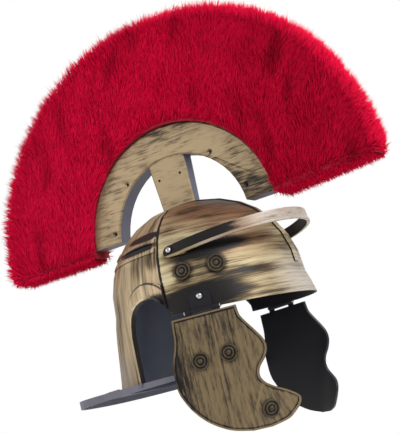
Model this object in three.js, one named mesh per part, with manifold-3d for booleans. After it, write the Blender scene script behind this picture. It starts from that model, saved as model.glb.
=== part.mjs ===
// A Roman legionary helmet with a fore-and-aft plume, as a light moulded costume helmet is made.
// Millimetres. +X is the wearer's left, the face looks along -Y, +Z is up.
// The origin is inside the crown, where the top of the head holds the helmet.
import * as THREE from "three";
import { mergeVertices } from "three/addons/utils/BufferGeometryUtils.js";
import Module from "manifold-3d";

const wasm = await Module();
wasm.setup();

const degrees = THREE.MathUtils.degToRad;

// Driving dimensions: the bowl
const WALL = 2.5; // moulded wall of the bowl, the guards and the neck guard
const BOWL_SIDE = 92; // crown axis to the side of the dome, outside
const BOWL_FRONT = 110.5; // crown axis to the front of the dome
const BOWL_REAR = 96.5; // crown axis to the back of the dome
const DOME_HEIGHT = 100; // crown to the widest line of the dome
const DOME_FULLNESS = 2.15; // 2 is an ellipse, more is squarer
const BOWL_DEPTH = 176.5; // crown to the plate of the neck guard, outside
const BROW_RIM_DEPTH = 123; // crown to the rim over the face
const EAR_RIM_DEPTH = 118.5; // crown to the rim at the front of the ear
const SEAM_AT_CROWN = -1; // the seam between the two shells, from the crown axis
const SEAM_AT_EAR = -6;
const FIT = 0.3; // clearance between pieces that touch

// Driving dimensions: the raised work on the bowl
const RIDGE_WIDTH = 9; // band along the crown
const RIDGE_HEIGHT = 1.5;
const RIDGE_END_DEPTH = 91; // crown to the square end of the band on the front
const SEAT_MARGIN = 3; // raised seat of the crest post, past the post all round
const OCCIPUT_STEP_DEPTHS = [38, 48]; // crown to the raised steps across the back
const OCCIPUT_STEP_WIDTH = 4;

// Driving dimensions: the ears
const EAR_BAND_HEIGHT = 2; // raised band round the ear opening
const EAR_LIP = 2.4; // turned-out edge of the opening
const EAR_LIP_HEIGHT = 5.5;
const EAR_REACH = 44; // crown axis to the rear edge of the opening
const EAR_HEIGHT = 80; // plate of the neck guard to the top of the opening
const EAR_BAND = 24; // widest part of the raised band

// Driving dimensions: the neck guard
const NECK_TIP = 161; // crown axis to its rear edge
const NECK_HALF_WIDTH = 89;
const NECK_FRONT = 5; // where it ends beside the cheeks
const NECK_SQUARENESS = 2.7;
const NECK_TURNED_EDGE = 8.5; // height of the edge that is turned down, at the rear
const NECK_EDGE_IN_FRONT = 5; // and beside the cheeks
const NECK_SLOPE = -0.5; // degrees down to the rear
const NECK_OPENING_SIDE = 81; // the hole that the neck passes through
const NECK_OPENING_CENTRE = 10;
const NECK_RIBS = [13, 24]; // embossed ribs, from the rear of the bowl
const NECK_RIB_REACH = 55; // to each side
const NECK_RIB_WIDTH = 4;
const NECK_RIB_HEIGHT = 4.2;

// Driving dimensions: the crest
const ARCH_OUTER = 112;
const ARCH_INNER = 78;
const ARCH_THICKNESS = 22;
const ARCH_CENTRE = { y: 0, z: -22 };
const ARCH_FOOT_Z = -15; // both ends are cut level here
const ARCH_CHAMFER = 1.5;
const POST_TOP = { rear: 26, front: 19, thickness: 20 };
const POST_FOOT = { rear: 20, front: 18, thickness: 12 };
const POST_SINK = 10; // how far the post runs up into the arch
const POST_FOOT_Z = -12; // under the crown, before the foot is fitted to it
const HOLE = 3; // vent holes through the arch and the post
const HOLE_RADIUS = 84.5; // their circle on the arch
const HOLE_ANGLES = [-75, -37, 40, 78]; // from straight up, to the rear
const POST_HOLES = [
  { y: -10, z: 36 },
  { y: 16, z: 35 },
];

// Driving dimensions: the plume
const PLUME_RADIUS = 235; // to the tips of the tufts
const PLUME_CENTRE = { y: -7, z: -26 };
const PLUME_THICKNESS = 44;
const PLUME_FRONT_Z = -17; // its level ends
const PLUME_REAR_Z = -20;
const PLUME_ROUNDING = 6;
const TUFTS = 13; // locks along the rim, in each of its rows
const TUFT_ROWS = 3;
const TUFT_LENGTH = 30;
const TUFT_THICKNESS = 16;
const TUFT_ROOTED = 8; // how far a tuft's foot is inside the backing
const TUFT_UNEVEN = 4; // tips vary by this either way

// Driving dimensions: the brow guard
const BROW = { reach: 103, y: -23, z: -54 };
const BROW_HEIGHT = 12;
const BROW_RISE = 5.8; // degrees up to the front
const BROW_EDGE = 1; // the lower edge is thicker by this
const BROW_LUG = 11; // flat end that the rivet holds

// Driving dimensions: rosettes and rivets
const ROSETTE_RADIUS = 8.7;
const ROSETTE_HEIGHT = 3.6;
const BOWL_ROSETTES = {
  rear: { forward: 0.2534, depth: 0.4504 }, // shares of BOWL_FRONT and BOWL_DEPTH
  front: { forward: 0.543, depth: 0.4533 },
};
const RIVET_RADIUS = 3;

// Driving dimensions: the hinges and the cheek guards
const HINGE_Y = -40; // middle of the hinge along the rim
const HINGE_BELOW_RIM = 2; // its axis, under the rim at the front of the ear
const BARREL = 4.4; // outside of the barrel and the knuckles
const BARREL_BORE = 2.2;
const PIN = 1.6;
const BARREL_LENGTH = 21.5;
const KNUCKLE_LENGTH = 6;
const PIN_HEAD = { diameter: 3.2, thickness: 1 };
const BARREL_GAP = 0.5; // barrel to the outside of the bowl
const LEAF_THICKNESS = 1.2;
const LEAF_HEIGHT = 19;
const LEAF_CORNER = 5;
const LEAF_RIVET = 13; // hinge axis to the rivet
const GUARD_TOP = 4; // hinge axis to the top edge of the guard
const GUARD_WIDTH = 64; // along the top edge
const GUARD_DROP = 118; // top edge to the lowest point
const GUARD_HINGE_FROM_REAR = 31.5; // rear corner to the middle of the hinge
const GUARD_BORDER = 2.4; // raised border
const GUARD_BORDER_HEIGHT = 1;
const CHIN_BEND = { start: 12, deepest: 25, reach: 47 }; // the chin end curves to the face
const CHIN_DIRECTION = { along: 0.887, drop: 0.461 }; // the way that the bend runs
const GUARD_NOTCH = { along: 1.1, drop: 0.57 }; // where it is measured from, as shares

// The lower part of the bowl, from the widest line of the dome to the neck guard.
// drop is a share of that height; front, rear and side are shares of the dome's own reach.
const SKIRT = [
  { drop: 0.0, front: 1.0, rear: 1.0, side: 1.0 },
  { drop: 0.15, front: 1.035, rear: 1.035, side: 1.005 },
  { drop: 0.32, front: 1.065, rear: 1.06, side: 1.01 },
  { drop: 0.6, front: 1.09, rear: 1.095, side: 1.01 },
  { drop: 0.84, front: 1.11, rear: 1.13, side: 1.0 },
  { drop: 1.0, front: 1.13, rear: 1.155, side: 1.0 },
];

// The edge of the ear opening, from its front corner over the ear and down to the neck guard, as
// shares: y of EAR_REACH, rise of EAR_HEIGHT, and band, the width of the raised band, of EAR_BAND.
const EAR_EDGE = [
  { y: -0.227, rise: 0.715, band: 0.75 },
  { y: -0.125, rise: 0.82, band: 0.667 },
  { y: 0.0, rise: 0.92, band: 0.625 },
  { y: 0.17, rise: 0.985, band: 0.625 },
  { y: 0.386, rise: 1.0, band: 0.667 },
  { y: 0.614, rise: 0.97, band: 0.625 },
  { y: 0.818, rise: 0.875, band: 0.458 },
  { y: 0.94, rise: 0.69, band: 0.333 },
  { y: 0.977, rise: 0.3375, band: 0.292 },
  { y: 1.0, rise: 0.0, band: 0.292 },
];

// The outline of a cheek guard. drop is a share of its height; rear and front are shares of the
// width of its top edge, measured forwards from the rear corner.
const GUARD_OUTLINE = [
  { drop: 0.0, rear: 0.0, front: 1.0 },
  { drop: 0.085, rear: -0.01, front: 1.02 },
  { drop: 0.16, rear: -0.02, front: 1.1 },
  { drop: 0.24, rear: -0.055, front: 1.2 },
  { drop: 0.32, rear: -0.11, front: 1.285 },
  { drop: 0.39, rear: -0.135, front: 1.3 },
  { drop: 0.46, rear: -0.14, front: 1.24 },
  { drop: 0.53, rear: -0.14, front: 1.13 },
  { drop: 0.595, rear: -0.12, front: 1.1 },
  { drop: 0.65, rear: -0.075, front: 1.15 },
  { drop: 0.7, rear: -0.03, front: 1.27 },
  { drop: 0.75, rear: 0.03, front: 1.43 },
  { drop: 0.81, rear: 0.12, front: 1.55 },
  { drop: 0.87, rear: 0.24, front: 1.52 },
  { drop: 0.93, rear: 0.41, front: 1.41 },
  { drop: 0.97, rear: 0.58, front: 1.3 },
  { drop: 1.0, rear: 0.82, front: 1.08 },
];
// Its rosettes, as shares of the width and of the drop.
const GUARD_ROSETTES = {
  upper_rear: { along: 0.297, drop: 0.373 },
  upper_front: { along: 0.742, drop: 0.36 },
  chin: { along: 1.117, drop: 0.856 },
};

// Materials

function finish(color, roughness, metalness) {
  return new THREE.MeshStandardMaterial({ color, roughness, metalness });
}

const GOLD = finish(0x9c7a45, 0.45, 0.7);
const BRONZE = finish(0x6f5c38, 0.5, 0.7);
const BLACK = finish(0x1d1c20, 0.4, 0.3);
const STEEL = finish(0xb8b8bc, 0.3, 1);
const RED_FUR = finish(0xb80e32, 0.95, 0);

// Solids

function solidOf(geometry) {
  const bare = new THREE.BufferGeometry();
  bare.setAttribute("position", geometry.getAttribute("position"));
  if (geometry.index) bare.setIndex(geometry.index);
  const merged = mergeVertices(bare, 1e-3);
  return new wasm.Manifold(
    new wasm.Mesh({
      numProp: 3,
      vertProperties: new Float32Array(merged.attributes.position.array),
      triVerts: new Uint32Array(merged.index.array),
    }),
  );
}

function geometryOf(solid) {
  const mesh = solid.getMesh();
  const geometry = new THREE.BufferGeometry();
  const positions = new Float32Array(mesh.numVert * 3);
  for (let i = 0; i < mesh.numVert; i++) {
    const at = i * mesh.numProp;
    positions.set(mesh.vertProperties.subarray(at, at + 3), i * 3);
  }
  geometry.setAttribute("position", new THREE.BufferAttribute(positions, 3));
  geometry.setIndex(new THREE.BufferAttribute(mesh.triVerts, 1));
  return geometry;
}

// A closed body through rings of points, each of the same count, with a fan over each end.
function throughRings(rings) {
  const count = rings[0].length;
  const points = rings.flat();
  const first = points.length;
  points.push(middle(rings[0]), middle(rings.at(-1)));
  const faces = [];
  for (let r = 0; r + 1 < rings.length; r++) {
    for (let i = 0; i < count; i++) {
      const a = r * count + i;
      const b = r * count + ((i + 1) % count);
      faces.push(a, b, b + count, a, b + count, a + count);
    }
  }
  const last = (rings.length - 1) * count;
  for (let i = 0; i < count; i++) {
    const next = (i + 1) % count;
    faces.push(first, next, i, first + 1, last + i, last + next);
  }
  return closedSolid(points, faces);
}

// A closed body from points and triangles that may face either way as a whole.
function closedSolid(points, faces) {
  const geometry = new THREE.BufferGeometry().setFromPoints(points);
  geometry.setIndex(faces);
  if (volumeOf(points, faces) > 0) return solidOf(geometry);
  geometry.setIndex([...faces].reverse());
  return solidOf(geometry);
}

function volumeOf(points, faces) {
  const cross = new THREE.Vector3();
  let total = 0;
  for (let i = 0; i < faces.length; i += 3) {
    cross.crossVectors(points[faces[i + 1]], points[faces[i + 2]]);
    total += points[faces[i]].dot(cross) / 6;
  }
  return total;
}

function middle(ring) {
  const sum = new THREE.Vector3();
  for (const point of ring) sum.add(point);
  return sum.divideScalar(ring.length);
}

// A prism of a (y, z) outline, from x = from to x = to.
function prismAlongX(outline, from, to, holes = [], chamfer = 0) {
  const shape = new THREE.Shape(outline.map(([y, z]) => new THREE.Vector2(y, z)));
  for (const hole of holes) shape.holes.push(hole);
  const geometry = new THREE.ExtrudeGeometry(shape, {
    depth: to - from - 2 * chamfer,
    bevelEnabled: chamfer > 0,
    bevelSize: chamfer,
    bevelThickness: chamfer,
    bevelOffset: -chamfer,
    bevelSegments: 1,
    curveSegments: 4,
  });
  geometry.applyMatrix4(
    new THREE.Matrix4().makeBasis(
      new THREE.Vector3(0, 1, 0),
      new THREE.Vector3(0, 0, 1),
      new THREE.Vector3(1, 0, 0),
    ),
  );
  geometry.translate(from + chamfer, 0, 0);
  return solidOf(geometry);
}

// A prism of an (x, y) outline, from z = from to z = to.
function prismAlongZ(outline, from, to) {
  const shape = new THREE.Shape(outline.map(([x, y]) => new THREE.Vector2(x, y)));
  const geometry = new THREE.ExtrudeGeometry(shape, {
    depth: to - from,
    bevelEnabled: false,
  });
  geometry.translate(0, 0, from);
  return solidOf(geometry);
}

function box(x0, x1, y0, y1, z0, z1) {
  const geometry = new THREE.BoxGeometry(x1 - x0, y1 - y0, z1 - z0);
  geometry.translate((x0 + x1) / 2, (y0 + y1) / 2, (z0 + z1) / 2);
  return solidOf(geometry);
}

// A round bar or bore along Y, with its middle at the origin.
function barAlongY(diameter, length, sides = 12) {
  return solidOf(new THREE.CylinderGeometry(diameter / 2, diameter / 2, length, sides));
}

function moved(solid, x, y, z) {
  return solidOf(geometryOf(solid).translate(x, y, z));
}

// Steps from 0 to 1.
function steps(count) {
  return Array.from({ length: count + 1 }, (_, i) => i / count);
}

// A value between the rows of a table, by a smooth curve through them.
function between(rows, key, share, column) {
  let i = 0;
  while (i + 2 < rows.length && share > rows[i + 1][key]) i++;
  const before = rows[Math.max(i - 1, 0)];
  const after = rows[Math.min(i + 2, rows.length - 1)];
  const [a, b] = [rows[i], rows[i + 1]];
  const t = (share - a[key]) / (b[key] - a[key]);
  const slopeA = (b[column] - before[column]) / (b[key] - before[key]);
  const slopeB = (after[column] - a[column]) / (after[key] - a[key]);
  const span = b[key] - a[key];
  return (
    a[column] * (1 + 2 * t) * (1 - t) ** 2 +
    b[column] * t * t * (3 - 2 * t) +
    slopeA * span * t * (1 - t) ** 2 -
    slopeB * span * t * t * (1 - t)
  );
}

// The bowl

const CROWN_Z = WALL; // the inside of the crown is at the origin
const NECK_Z = CROWN_Z - BOWL_DEPTH;
const HINGE_Z = CROWN_Z - EAR_RIM_DEPTH - HINGE_BELOW_RIM;
const AROUND = 38;
const DOME_ROWS = 8;

// The reach of the bowl at a depth below the crown, and the depth itself, for each ring.
function bowlSections() {
  const dome = steps(DOME_ROWS)
    .slice(1)
    .map((step) => {
      const turn = (step * Math.PI) / 2;
      const reach = Math.sin(turn) ** (2 / DOME_FULLNESS);
      const height = Math.max(Math.cos(turn), 0) ** (2 / DOME_FULLNESS);
      return { depth: DOME_HEIGHT * (1 - height), front: reach, rear: reach, side: reach };
    });
  const skirt = SKIRT.slice(1).map((row) => ({
    ...row,
    depth: DOME_HEIGHT + row.drop * (BOWL_DEPTH - DOME_HEIGHT),
  }));
  return [...dome, ...skirt];
}

// The body inside the bowl's outer face, grown outwards by grow and run on below by extra.
function bowlBody(grow, extra = 0) {
  const rings = bowlSections().map((section) => ring(section, grow, section.depth));
  rings.push(ring(bowlSections().at(-1), grow, BOWL_DEPTH + extra));
  const crown = rings[0].map((point) => point.clone().multiplyScalar(0.02));
  for (const point of crown) point.z = CROWN_Z + grow;
  return throughRings([crown, ...rings]);
}

function ring(section, grow, depth) {
  const shrink = 1 - depth / DOME_HEIGHT;
  const lift = depth < DOME_HEIGHT ? grow * shrink : 0;
  return steps(AROUND)
    .slice(0, AROUND)
    .map((step) => {
      const turn = step * 2 * Math.PI;
      const along = Math.sin(turn) > 0 ? BOWL_REAR * section.rear : BOWL_FRONT * section.front;
      const outward = depth < DOME_HEIGHT ? Math.sqrt(1 - shrink ** 2) : 1;
      const x = (BOWL_SIDE * section.side + grow * outward) * Math.cos(turn);
      const y = (along + grow * outward) * Math.sin(turn);
      return new THREE.Vector3(x, y, CROWN_Z - depth + lift);
    });
}

// The outer face at a side point (y, z): its x, and the direction that it faces.
function bowlSide(y, z) {
  const depth = CROWN_Z - z;
  const reachAt = (d, key) => {
    if (d < DOME_HEIGHT) {
      const up = (1 - d / DOME_HEIGHT) ** DOME_FULLNESS;
      return (1 - up) ** (1 / DOME_FULLNESS);
    }
    return between(SKIRT, "drop", (d - DOME_HEIGHT) / (BOWL_DEPTH - DOME_HEIGHT), key);
  };
  const xAt = (yy, d) => {
    const along = yy > 0 ? BOWL_REAR * reachAt(d, "rear") : BOWL_FRONT * reachAt(d, "front");
    return BOWL_SIDE * reachAt(d, "side") * Math.sqrt(1 - (yy / along) ** 2);
  };
  const x = xAt(y, depth);
  const byY = xAt(y + 0.5, depth) - xAt(y - 0.5, depth);
  const byZ = xAt(y, depth - 0.5) - xAt(y, depth + 0.5);
  return { x, normal: new THREE.Vector3(1, -byY, -byZ).normalize() };
}

const OUTSIDE = bowlBody(0);
const HOLLOW = bowlBody(-WALL, 40);
const FAR = 300; // past everything

// The half space in front of the seam, moved back by gap.
function aheadOfSeam(gap) {
  const slope = (SEAM_AT_EAR - SEAM_AT_CROWN) / EAR_RIM_DEPTH;
  const yAt = (z) => SEAM_AT_CROWN + slope * (CROWN_Z - z) + gap;
  return prismAlongX([[-FAR, -FAR], [yAt(-FAR), -FAR], [yAt(FAR), FAR], [-FAR, FAR]], -FAR, FAR);
}

function ridgeAndSeat() {
  const raised = bowlBody(RIDGE_HEIGHT);
  const half = RIDGE_WIDTH / 2;
  const band = box(-half, half, -FAR, FAR, CROWN_Z - RIDGE_END_DEPTH, FAR);
  const wide = POST_FOOT.thickness / 2 + SEAT_MARGIN;
  const [front, rear] = [-POST_FOOT.front - SEAT_MARGIN, POST_FOOT.rear + SEAT_MARGIN];
  const seat = box(-wide, wide, front, rear, -DOME_HEIGHT / 2, FAR);
  return raised.intersect(band.add(seat));
}

function frontShell() {
  const slope = (BROW_RIM_DEPTH - EAR_RIM_DEPTH) / (BOWL_FRONT + SEAM_AT_EAR);
  const rimAt = (y) => CROWN_Z - EAR_RIM_DEPTH + slope * (y - SEAM_AT_EAR);
  const aboveRim = prismAlongX(
    [[-FAR, rimAt(-FAR)], [0, rimAt(0)], [0, FAR], [-FAR, FAR]],
    -FAR,
    FAR,
  );
  return OUTSIDE.add(ridgeAndSeat())
    .subtract(HOLLOW)
    .intersect(aheadOfSeam(-FIT / 2))
    .intersect(aboveRim);
}

// The ear's edge as (y, z) points, moved outwards from the opening by what outAt(band) gives.
function earEdge(outAt) {
  const curve = new THREE.CatmullRomCurve3(
    EAR_EDGE.map(
      ({ y, rise, band }) =>
        new THREE.Vector3(EAR_REACH * y, NECK_Z + EAR_HEIGHT * rise, EAR_BAND * band),
    ),
  );
  return steps(16).map((t) => {
    const at = curve.getPoint(t);
    const tangent = curve.getTangent(t).setZ(0).normalize();
    const out = outAt(at.z);
    return [at.x - tangent.y * out, at.y + tangent.x * out];
  });
}

// What lies within the ear's edge, through the whole bowl.
function withinEar(outAt) {
  const edge = earEdge(outAt);
  const front = edge[0][0] - EAR_REACH;
  return prismAlongX(
    [[front, edge[0][1]], ...edge, [edge.at(-1)[0], -FAR], [front, -FAR]],
    -FAR,
    FAR,
  );
}

function rearShell() {
  const opening = withinEar(() => 0);
  const band = bowlBody(EAR_BAND_HEIGHT).intersect(withinEar((width) => width));
  const behindHinge = box(-FAR, FAR, SEAM_AT_EAR + GUARD_TOP, FAR, -FAR, FAR);
  const lip = bowlBody(EAR_LIP_HEIGHT).intersect(withinEar(() => EAR_LIP)).intersect(behindHinge);
  return OUTSIDE.add(ridgeAndSeat())
    .add(occiputSteps())
    .add(band)
    .add(lip)
    .subtract(opening)
    .subtract(aheadOfSeam(FIT / 2))
    .subtract(HOLLOW)
    .add(neckGuard());
}

function occiputSteps() {
  const raised = bowlBody(1);
  const bands = OCCIPUT_STEP_DEPTHS.map((depth) =>
    box(-FAR, FAR, 0, FAR, CROWN_Z - depth - OCCIPUT_STEP_WIDTH, CROWN_Z - depth),
  );
  return raised.intersect(bands[0].add(bands[1]));
}

// The plan of the neck guard, moved inwards by inset.
function neckOutline(inset, count = 26) {
  const power = 2 / NECK_SQUARENESS;
  return steps(count).map((t) => {
    const turn = t * Math.PI;
    const side = Math.sign(Math.cos(turn)) * Math.abs(Math.cos(turn)) ** power;
    const x = (NECK_HALF_WIDTH - inset) * side;
    const y = NECK_FRONT + (NECK_TIP - NECK_FRONT - inset) * Math.sin(turn) ** power;
    return [x, y];
  });
}

function neckGuard() {
  const plate = prismAlongZ(neckOutline(0), -WALL, 0);
  const edge = prismAlongZ(neckOutline(0), -NECK_TURNED_EDGE, 0).subtract(
    prismAlongZ(
      neckOutline(WALL).map(([x, y]) => [x, y === NECK_FRONT ? y - 5 : y]),
      -NECK_TURNED_EDGE - 5,
      1,
    ),
  );
  const rearOfBowl = BOWL_REAR * SKIRT.at(-1).rear;
  const tapered = prismAlongX(
    [
      [NECK_FRONT - 1, 1],
      [NECK_FRONT - 1, -NECK_EDGE_IN_FRONT],
      [NECK_TIP + 1, -NECK_TURNED_EDGE],
      [NECK_TIP + 1, 1],
    ],
    -FAR,
    FAR,
  );
  let guard = plate.add(edge.intersect(tapered));
  for (const out of NECK_RIBS) {
    const inset = NECK_TIP - rearOfBowl - out;
    const rib = prismAlongZ(neckOutline(inset, 14), -WALL / 2, NECK_RIB_HEIGHT).subtract(
      prismAlongZ(neckOutline(inset + NECK_RIB_WIDTH, 14), -WALL, 2 * NECK_RIB_HEIGHT),
    );
    const behind = box(-NECK_RIB_REACH, NECK_RIB_REACH, BOWL_REAR, FAR, -WALL, WALL);
    guard = guard.add(rib.intersect(behind));
  }
  const neck = steps(24).map((t) => {
    const turn = t * 2 * Math.PI;
    const reach = rearOfBowl - WALL - NECK_OPENING_CENTRE;
    return [NECK_OPENING_SIDE * Math.cos(turn), NECK_OPENING_CENTRE + reach * Math.sin(turn)];
  });
  guard = guard.subtract(prismAlongZ(neck.slice(1), -20, 20));
  const geometry = geometryOf(guard);
  geometry.translate(0, -NECK_FRONT, 0);
  geometry.rotateX(-degrees(NECK_SLOPE));
  geometry.translate(0, NECK_FRONT, NECK_Z + WALL);
  return solidOf(geometry);
}

// The crest

// A (y, z) point of a circle, turned from straight up to the rear.
function onCircle(centre, radius, turn) {
  return [centre.y + radius * Math.sin(turn), centre.z + radius * Math.cos(turn)];
}

// The points of an arc over the top of a circle, from one height in front to one behind.
function overTop(centre, radius, frontZ, rearZ, count) {
  const front = Math.acos((frontZ - centre.z) / radius);
  const rear = Math.acos((rearZ - centre.z) / radius);
  return steps(count).map((t) => onCircle(centre, radius, (front + rear) * t - front));
}

function ventHole(y, z) {
  const hole = new THREE.Path();
  for (const step of steps(8).slice(0, 8)) {
    const turn = step * 2 * Math.PI;
    const [hy, hz] = [y + (HOLE / 2) * Math.cos(turn), z + (HOLE / 2) * Math.sin(turn)];
    if (step === 0) hole.moveTo(hy, hz);
    else hole.lineTo(hy, hz);
  }
  return hole;
}

function crestArch() {
  const half = ARCH_THICKNESS / 2;
  const arc = (radius) => overTop(ARCH_CENTRE, radius, ARCH_FOOT_Z, ARCH_FOOT_Z, 26);
  const outline = [...arc(ARCH_OUTER), ...arc(ARCH_INNER).reverse()];
  const vents = HOLE_ANGLES.map((angle) =>
    ventHole(...onCircle(ARCH_CENTRE, HOLE_RADIUS, degrees(angle))),
  );
  const arch = prismAlongX(outline, -half, half, vents, ARCH_CHAMFER);
  const topZ = ARCH_CENTRE.z + ARCH_INNER + POST_SINK;
  let post = throughRings([postRing(POST_FOOT, POST_FOOT_Z), postRing(POST_TOP, topZ)]);
  for (const { y, z } of POST_HOLES) {
    const outline = ventHole(y, z).getPoints().slice(0, 8);
    const hole = outline.map((p) => [p.x, p.y]);
    post = post.subtract(prismAlongX(hole, -ARCH_THICKNESS, ARCH_THICKNESS));
  }
  return arch.add(post).subtract(bowlBody(RIDGE_HEIGHT + FIT));
}

// A section of the post: a rectangle with chamfered corners, sized as its foot meets the crown.
function postRing(size, z) {
  const half = size.thickness / 2;
  const cut = ARCH_CHAMFER;
  const corners = [
    [half, size.rear - cut],
    [half - cut, size.rear],
    [-half + cut, size.rear],
    [-half, size.rear - cut],
    [-half, -size.front + cut],
    [-half + cut, -size.front],
    [half - cut, -size.front],
    [half, -size.front + cut],
  ];
  return corners.map(([x, y]) => new THREE.Vector3(x, y, z));
}

// The plume: a thick half-ring backing, with rows of tapering tufts round its rim.
function crestPlume() {
  const half = PLUME_THICKNESS / 2;
  const root = PLUME_RADIUS - TUFT_LENGTH;
  const ends = [PLUME_FRONT_Z, PLUME_REAR_Z];
  const outline = [
    ...overTop(PLUME_CENTRE, root, ...ends, 24),
    ...overTop(ARCH_CENTRE, ARCH_OUTER + FIT, ...ends, 26).reverse(),
  ];
  let plume = prismAlongX(outline, -half, half, [], PLUME_ROUNDING);
  const rowStep = (PLUME_THICKNESS - TUFT_THICKNESS) / (TUFT_ROWS - 1);
  for (let row = 0; row < TUFT_ROWS; row++) {
    for (let i = 0; i < TUFTS; i++) {
      const stagger = row % 2 ? 0.25 : -0.25;
      const turn = Math.PI * ((i + 0.5 + stagger) / TUFTS - 0.5);
      plume = plume.add(tuft(-half + TUFT_THICKNESS / 2 + row * rowStep, turn, row));
    }
  }
  const [front, rear] = ends;
  const aboveEnds = prismAlongX(
    [[-FAR, front], [0, front], [0, rear], [FAR, rear], [FAR, FAR], [-FAR, FAR]],
    -FAR,
    FAR,
  );
  return plume.intersect(aboveEnds);
}

// One tuft: a four-sided taper from inside the backing to a blunt tip, each a little different.
function tuft(x, turn, row) {
  const width = (Math.PI * PLUME_RADIUS) / TUFTS;
  const root = PLUME_RADIUS - TUFT_LENGTH;
  const shorter = TUFT_UNEVEN * (1 + Math.sin(turn * 31 + row * 2.1));
  const lean = 0.03 * Math.sin(turn * 13 + row);
  const sections = [
    { radius: root - TUFT_ROOTED, size: 0.62, lean: 0 },
    { radius: root + TUFT_LENGTH * 0.5, size: 0.5, lean: lean / 2 },
    { radius: PLUME_RADIUS - shorter, size: 0.1, lean },
  ];
  const rings = sections.map((section) => {
    const [y, z] = onCircle(PLUME_CENTRE, section.radius, turn + section.lean);
    return steps(4)
      .slice(0, 4)
      .map((t) => {
        const across = section.size * TUFT_THICKNESS * Math.sin(t * 2 * Math.PI);
        const along = section.size * width * Math.cos(t * 2 * Math.PI);
        return new THREE.Vector3(x + across, y + along * Math.cos(turn), z - along * Math.sin(turn));
      });
  });
  return throughRings(rings);
}

// The brow guard

function browGuard() {
  const side = bowlSide(BROW.y, BROW.z).x + FIT;
  const outlineAt = (out) => (t) => {
    const turn = t * Math.PI;
    return [(side + out) * Math.cos(turn), -(BROW.reach + out) * Math.sin(turn)];
  };
  const across = [
    { out: 0, up: 0.5 },
    { out: 0, up: -0.5 },
    { out: BROW_EDGE + WALL, up: -0.5 },
    { out: BROW_EDGE + WALL, up: -0.3 },
    { out: WALL, up: -0.22 },
    { out: WALL, up: 0.5 },
  ];
  const rings = steps(24).map((t) =>
    across.map(({ out, up }) => {
      const [x, y] = outlineAt(out)(t);
      return new THREE.Vector3(x, y, up * BROW_HEIGHT);
    }),
  );
  const geometry = geometryOf(throughRings(rings));
  geometry.rotateX(-degrees(BROW_RISE));
  geometry.translate(0, BROW.y, BROW.z);
  const band = solidOf(geometry);
  return band.subtract(bowlBody(FIT)).add(browLugs()).subtract(bowlBody(FIT));
}

// Where each end of the brow guard is riveted to the bowl.
function browRivetPlace() {
  const [y, z] = [BROW.y + BROW_LUG / 2, BROW.z];
  return { y, z, ...bowlSide(y, z) };
}

function browLugs() {
  const { y, z } = browRivetPlace();
  const half = BROW_HEIGHT / 2;
  const round = steps(8).map((t) => {
    const turn = Math.PI * (0.5 - t);
    return [y + half * Math.cos(turn), z + half * Math.sin(turn)];
  });
  const front = BROW.y - BROW_LUG;
  const lug = prismAlongX([...round, [front, z - half], [front, z + half]], -FAR, FAR);
  const thick = bowlBody(FIT + WALL).subtract(bowlBody(FIT));
  return lug.intersect(thick);
}

// Small round pieces: each stands on z = 0 and faces +z

function rosette() {
  const [r, h] = [ROSETTE_RADIUS, ROSETTE_HEIGHT];
  const profile = [
    [0, 0],
    [r, 0],
    [r, h * 0.45],
    [r * 0.8, h * 0.62],
    [r * 0.62, h * 0.4],
    [r * 0.45, h * 0.75],
    [0, h],
  ];
  return turned(profile, 10);
}

function rivet() {
  const [r, h] = [RIVET_RADIUS, RIVET_RADIUS * 0.7];
  return turned([[0, 0], [r, 0], [r * 0.92, h * 0.45], [r * 0.55, h * 0.88], [0, h]], 10);
}

function turned(profile, sides) {
  const geometry = new THREE.LatheGeometry(
    profile.map(([r, h]) => new THREE.Vector2(r, h)),
    sides,
  );
  geometry.rotateX(Math.PI / 2);
  return solidOf(geometry);
}

// A mesh of a small round piece, standing on a point and facing along a direction.
function stood(name, solid, material, at, facing, lift) {
  const mesh = new THREE.Mesh(geometryOf(solid), material);
  mesh.name = name;
  mesh.quaternion.setFromUnitVectors(new THREE.Vector3(0, 0, 1), facing);
  mesh.position.copy(at).addScaledVector(facing, lift);
  return mesh;
}

// The hinge and the cheek guard, in the hinge's own frame: its origin is the middle of the
// axis, +x points away from the head, +y to the rear along the axis and +z up.

const RIM_AT_HINGE = bowlSide(HINGE_Y, HINGE_Z);
const HINGE_TOE = Math.atan2(RIM_AT_HINGE.normal.y, RIM_AT_HINGE.normal.x);
const AXIS_OUT = BARREL / 2 + BARREL_GAP; // axis to the outside of the bowl

// The bowl's outside from the hinge axis, at a height above it.
function wallOut(up) {
  const side = bowlSide(HINGE_Y, HINGE_Z + up);
  return (side.x - RIM_AT_HINGE.x) * Math.cos(HINGE_TOE) - AXIS_OUT;
}

function hingeLeaf() {
  const half = BARREL_LENGTH / 2;
  const corner = LEAF_HEIGHT - LEAF_CORNER;
  const foot = { up: 0, inner: wallOut(0) + FIT, half };
  const shoulder = { up: corner, inner: wallOut(corner) + FIT, half };
  const top = {
    up: LEAF_HEIGHT,
    inner: wallOut(LEAF_HEIGHT) + FIT,
    half: half - LEAF_CORNER,
  };
  const rings = [foot, shoulder, top].map(({ up, inner, half: reach }) => [
    new THREE.Vector3(inner, -reach, up),
    new THREE.Vector3(inner + LEAF_THICKNESS, -reach, up),
    new THREE.Vector3(inner + LEAF_THICKNESS, reach, up),
    new THREE.Vector3(inner, reach, up),
  ]);
  const leaf = throughRings(rings).add(barAlongY(BARREL, BARREL_LENGTH, 10));
  return leaf.subtract(barAlongY(BARREL_BORE, BARREL_LENGTH + 2, 8));
}

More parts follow.
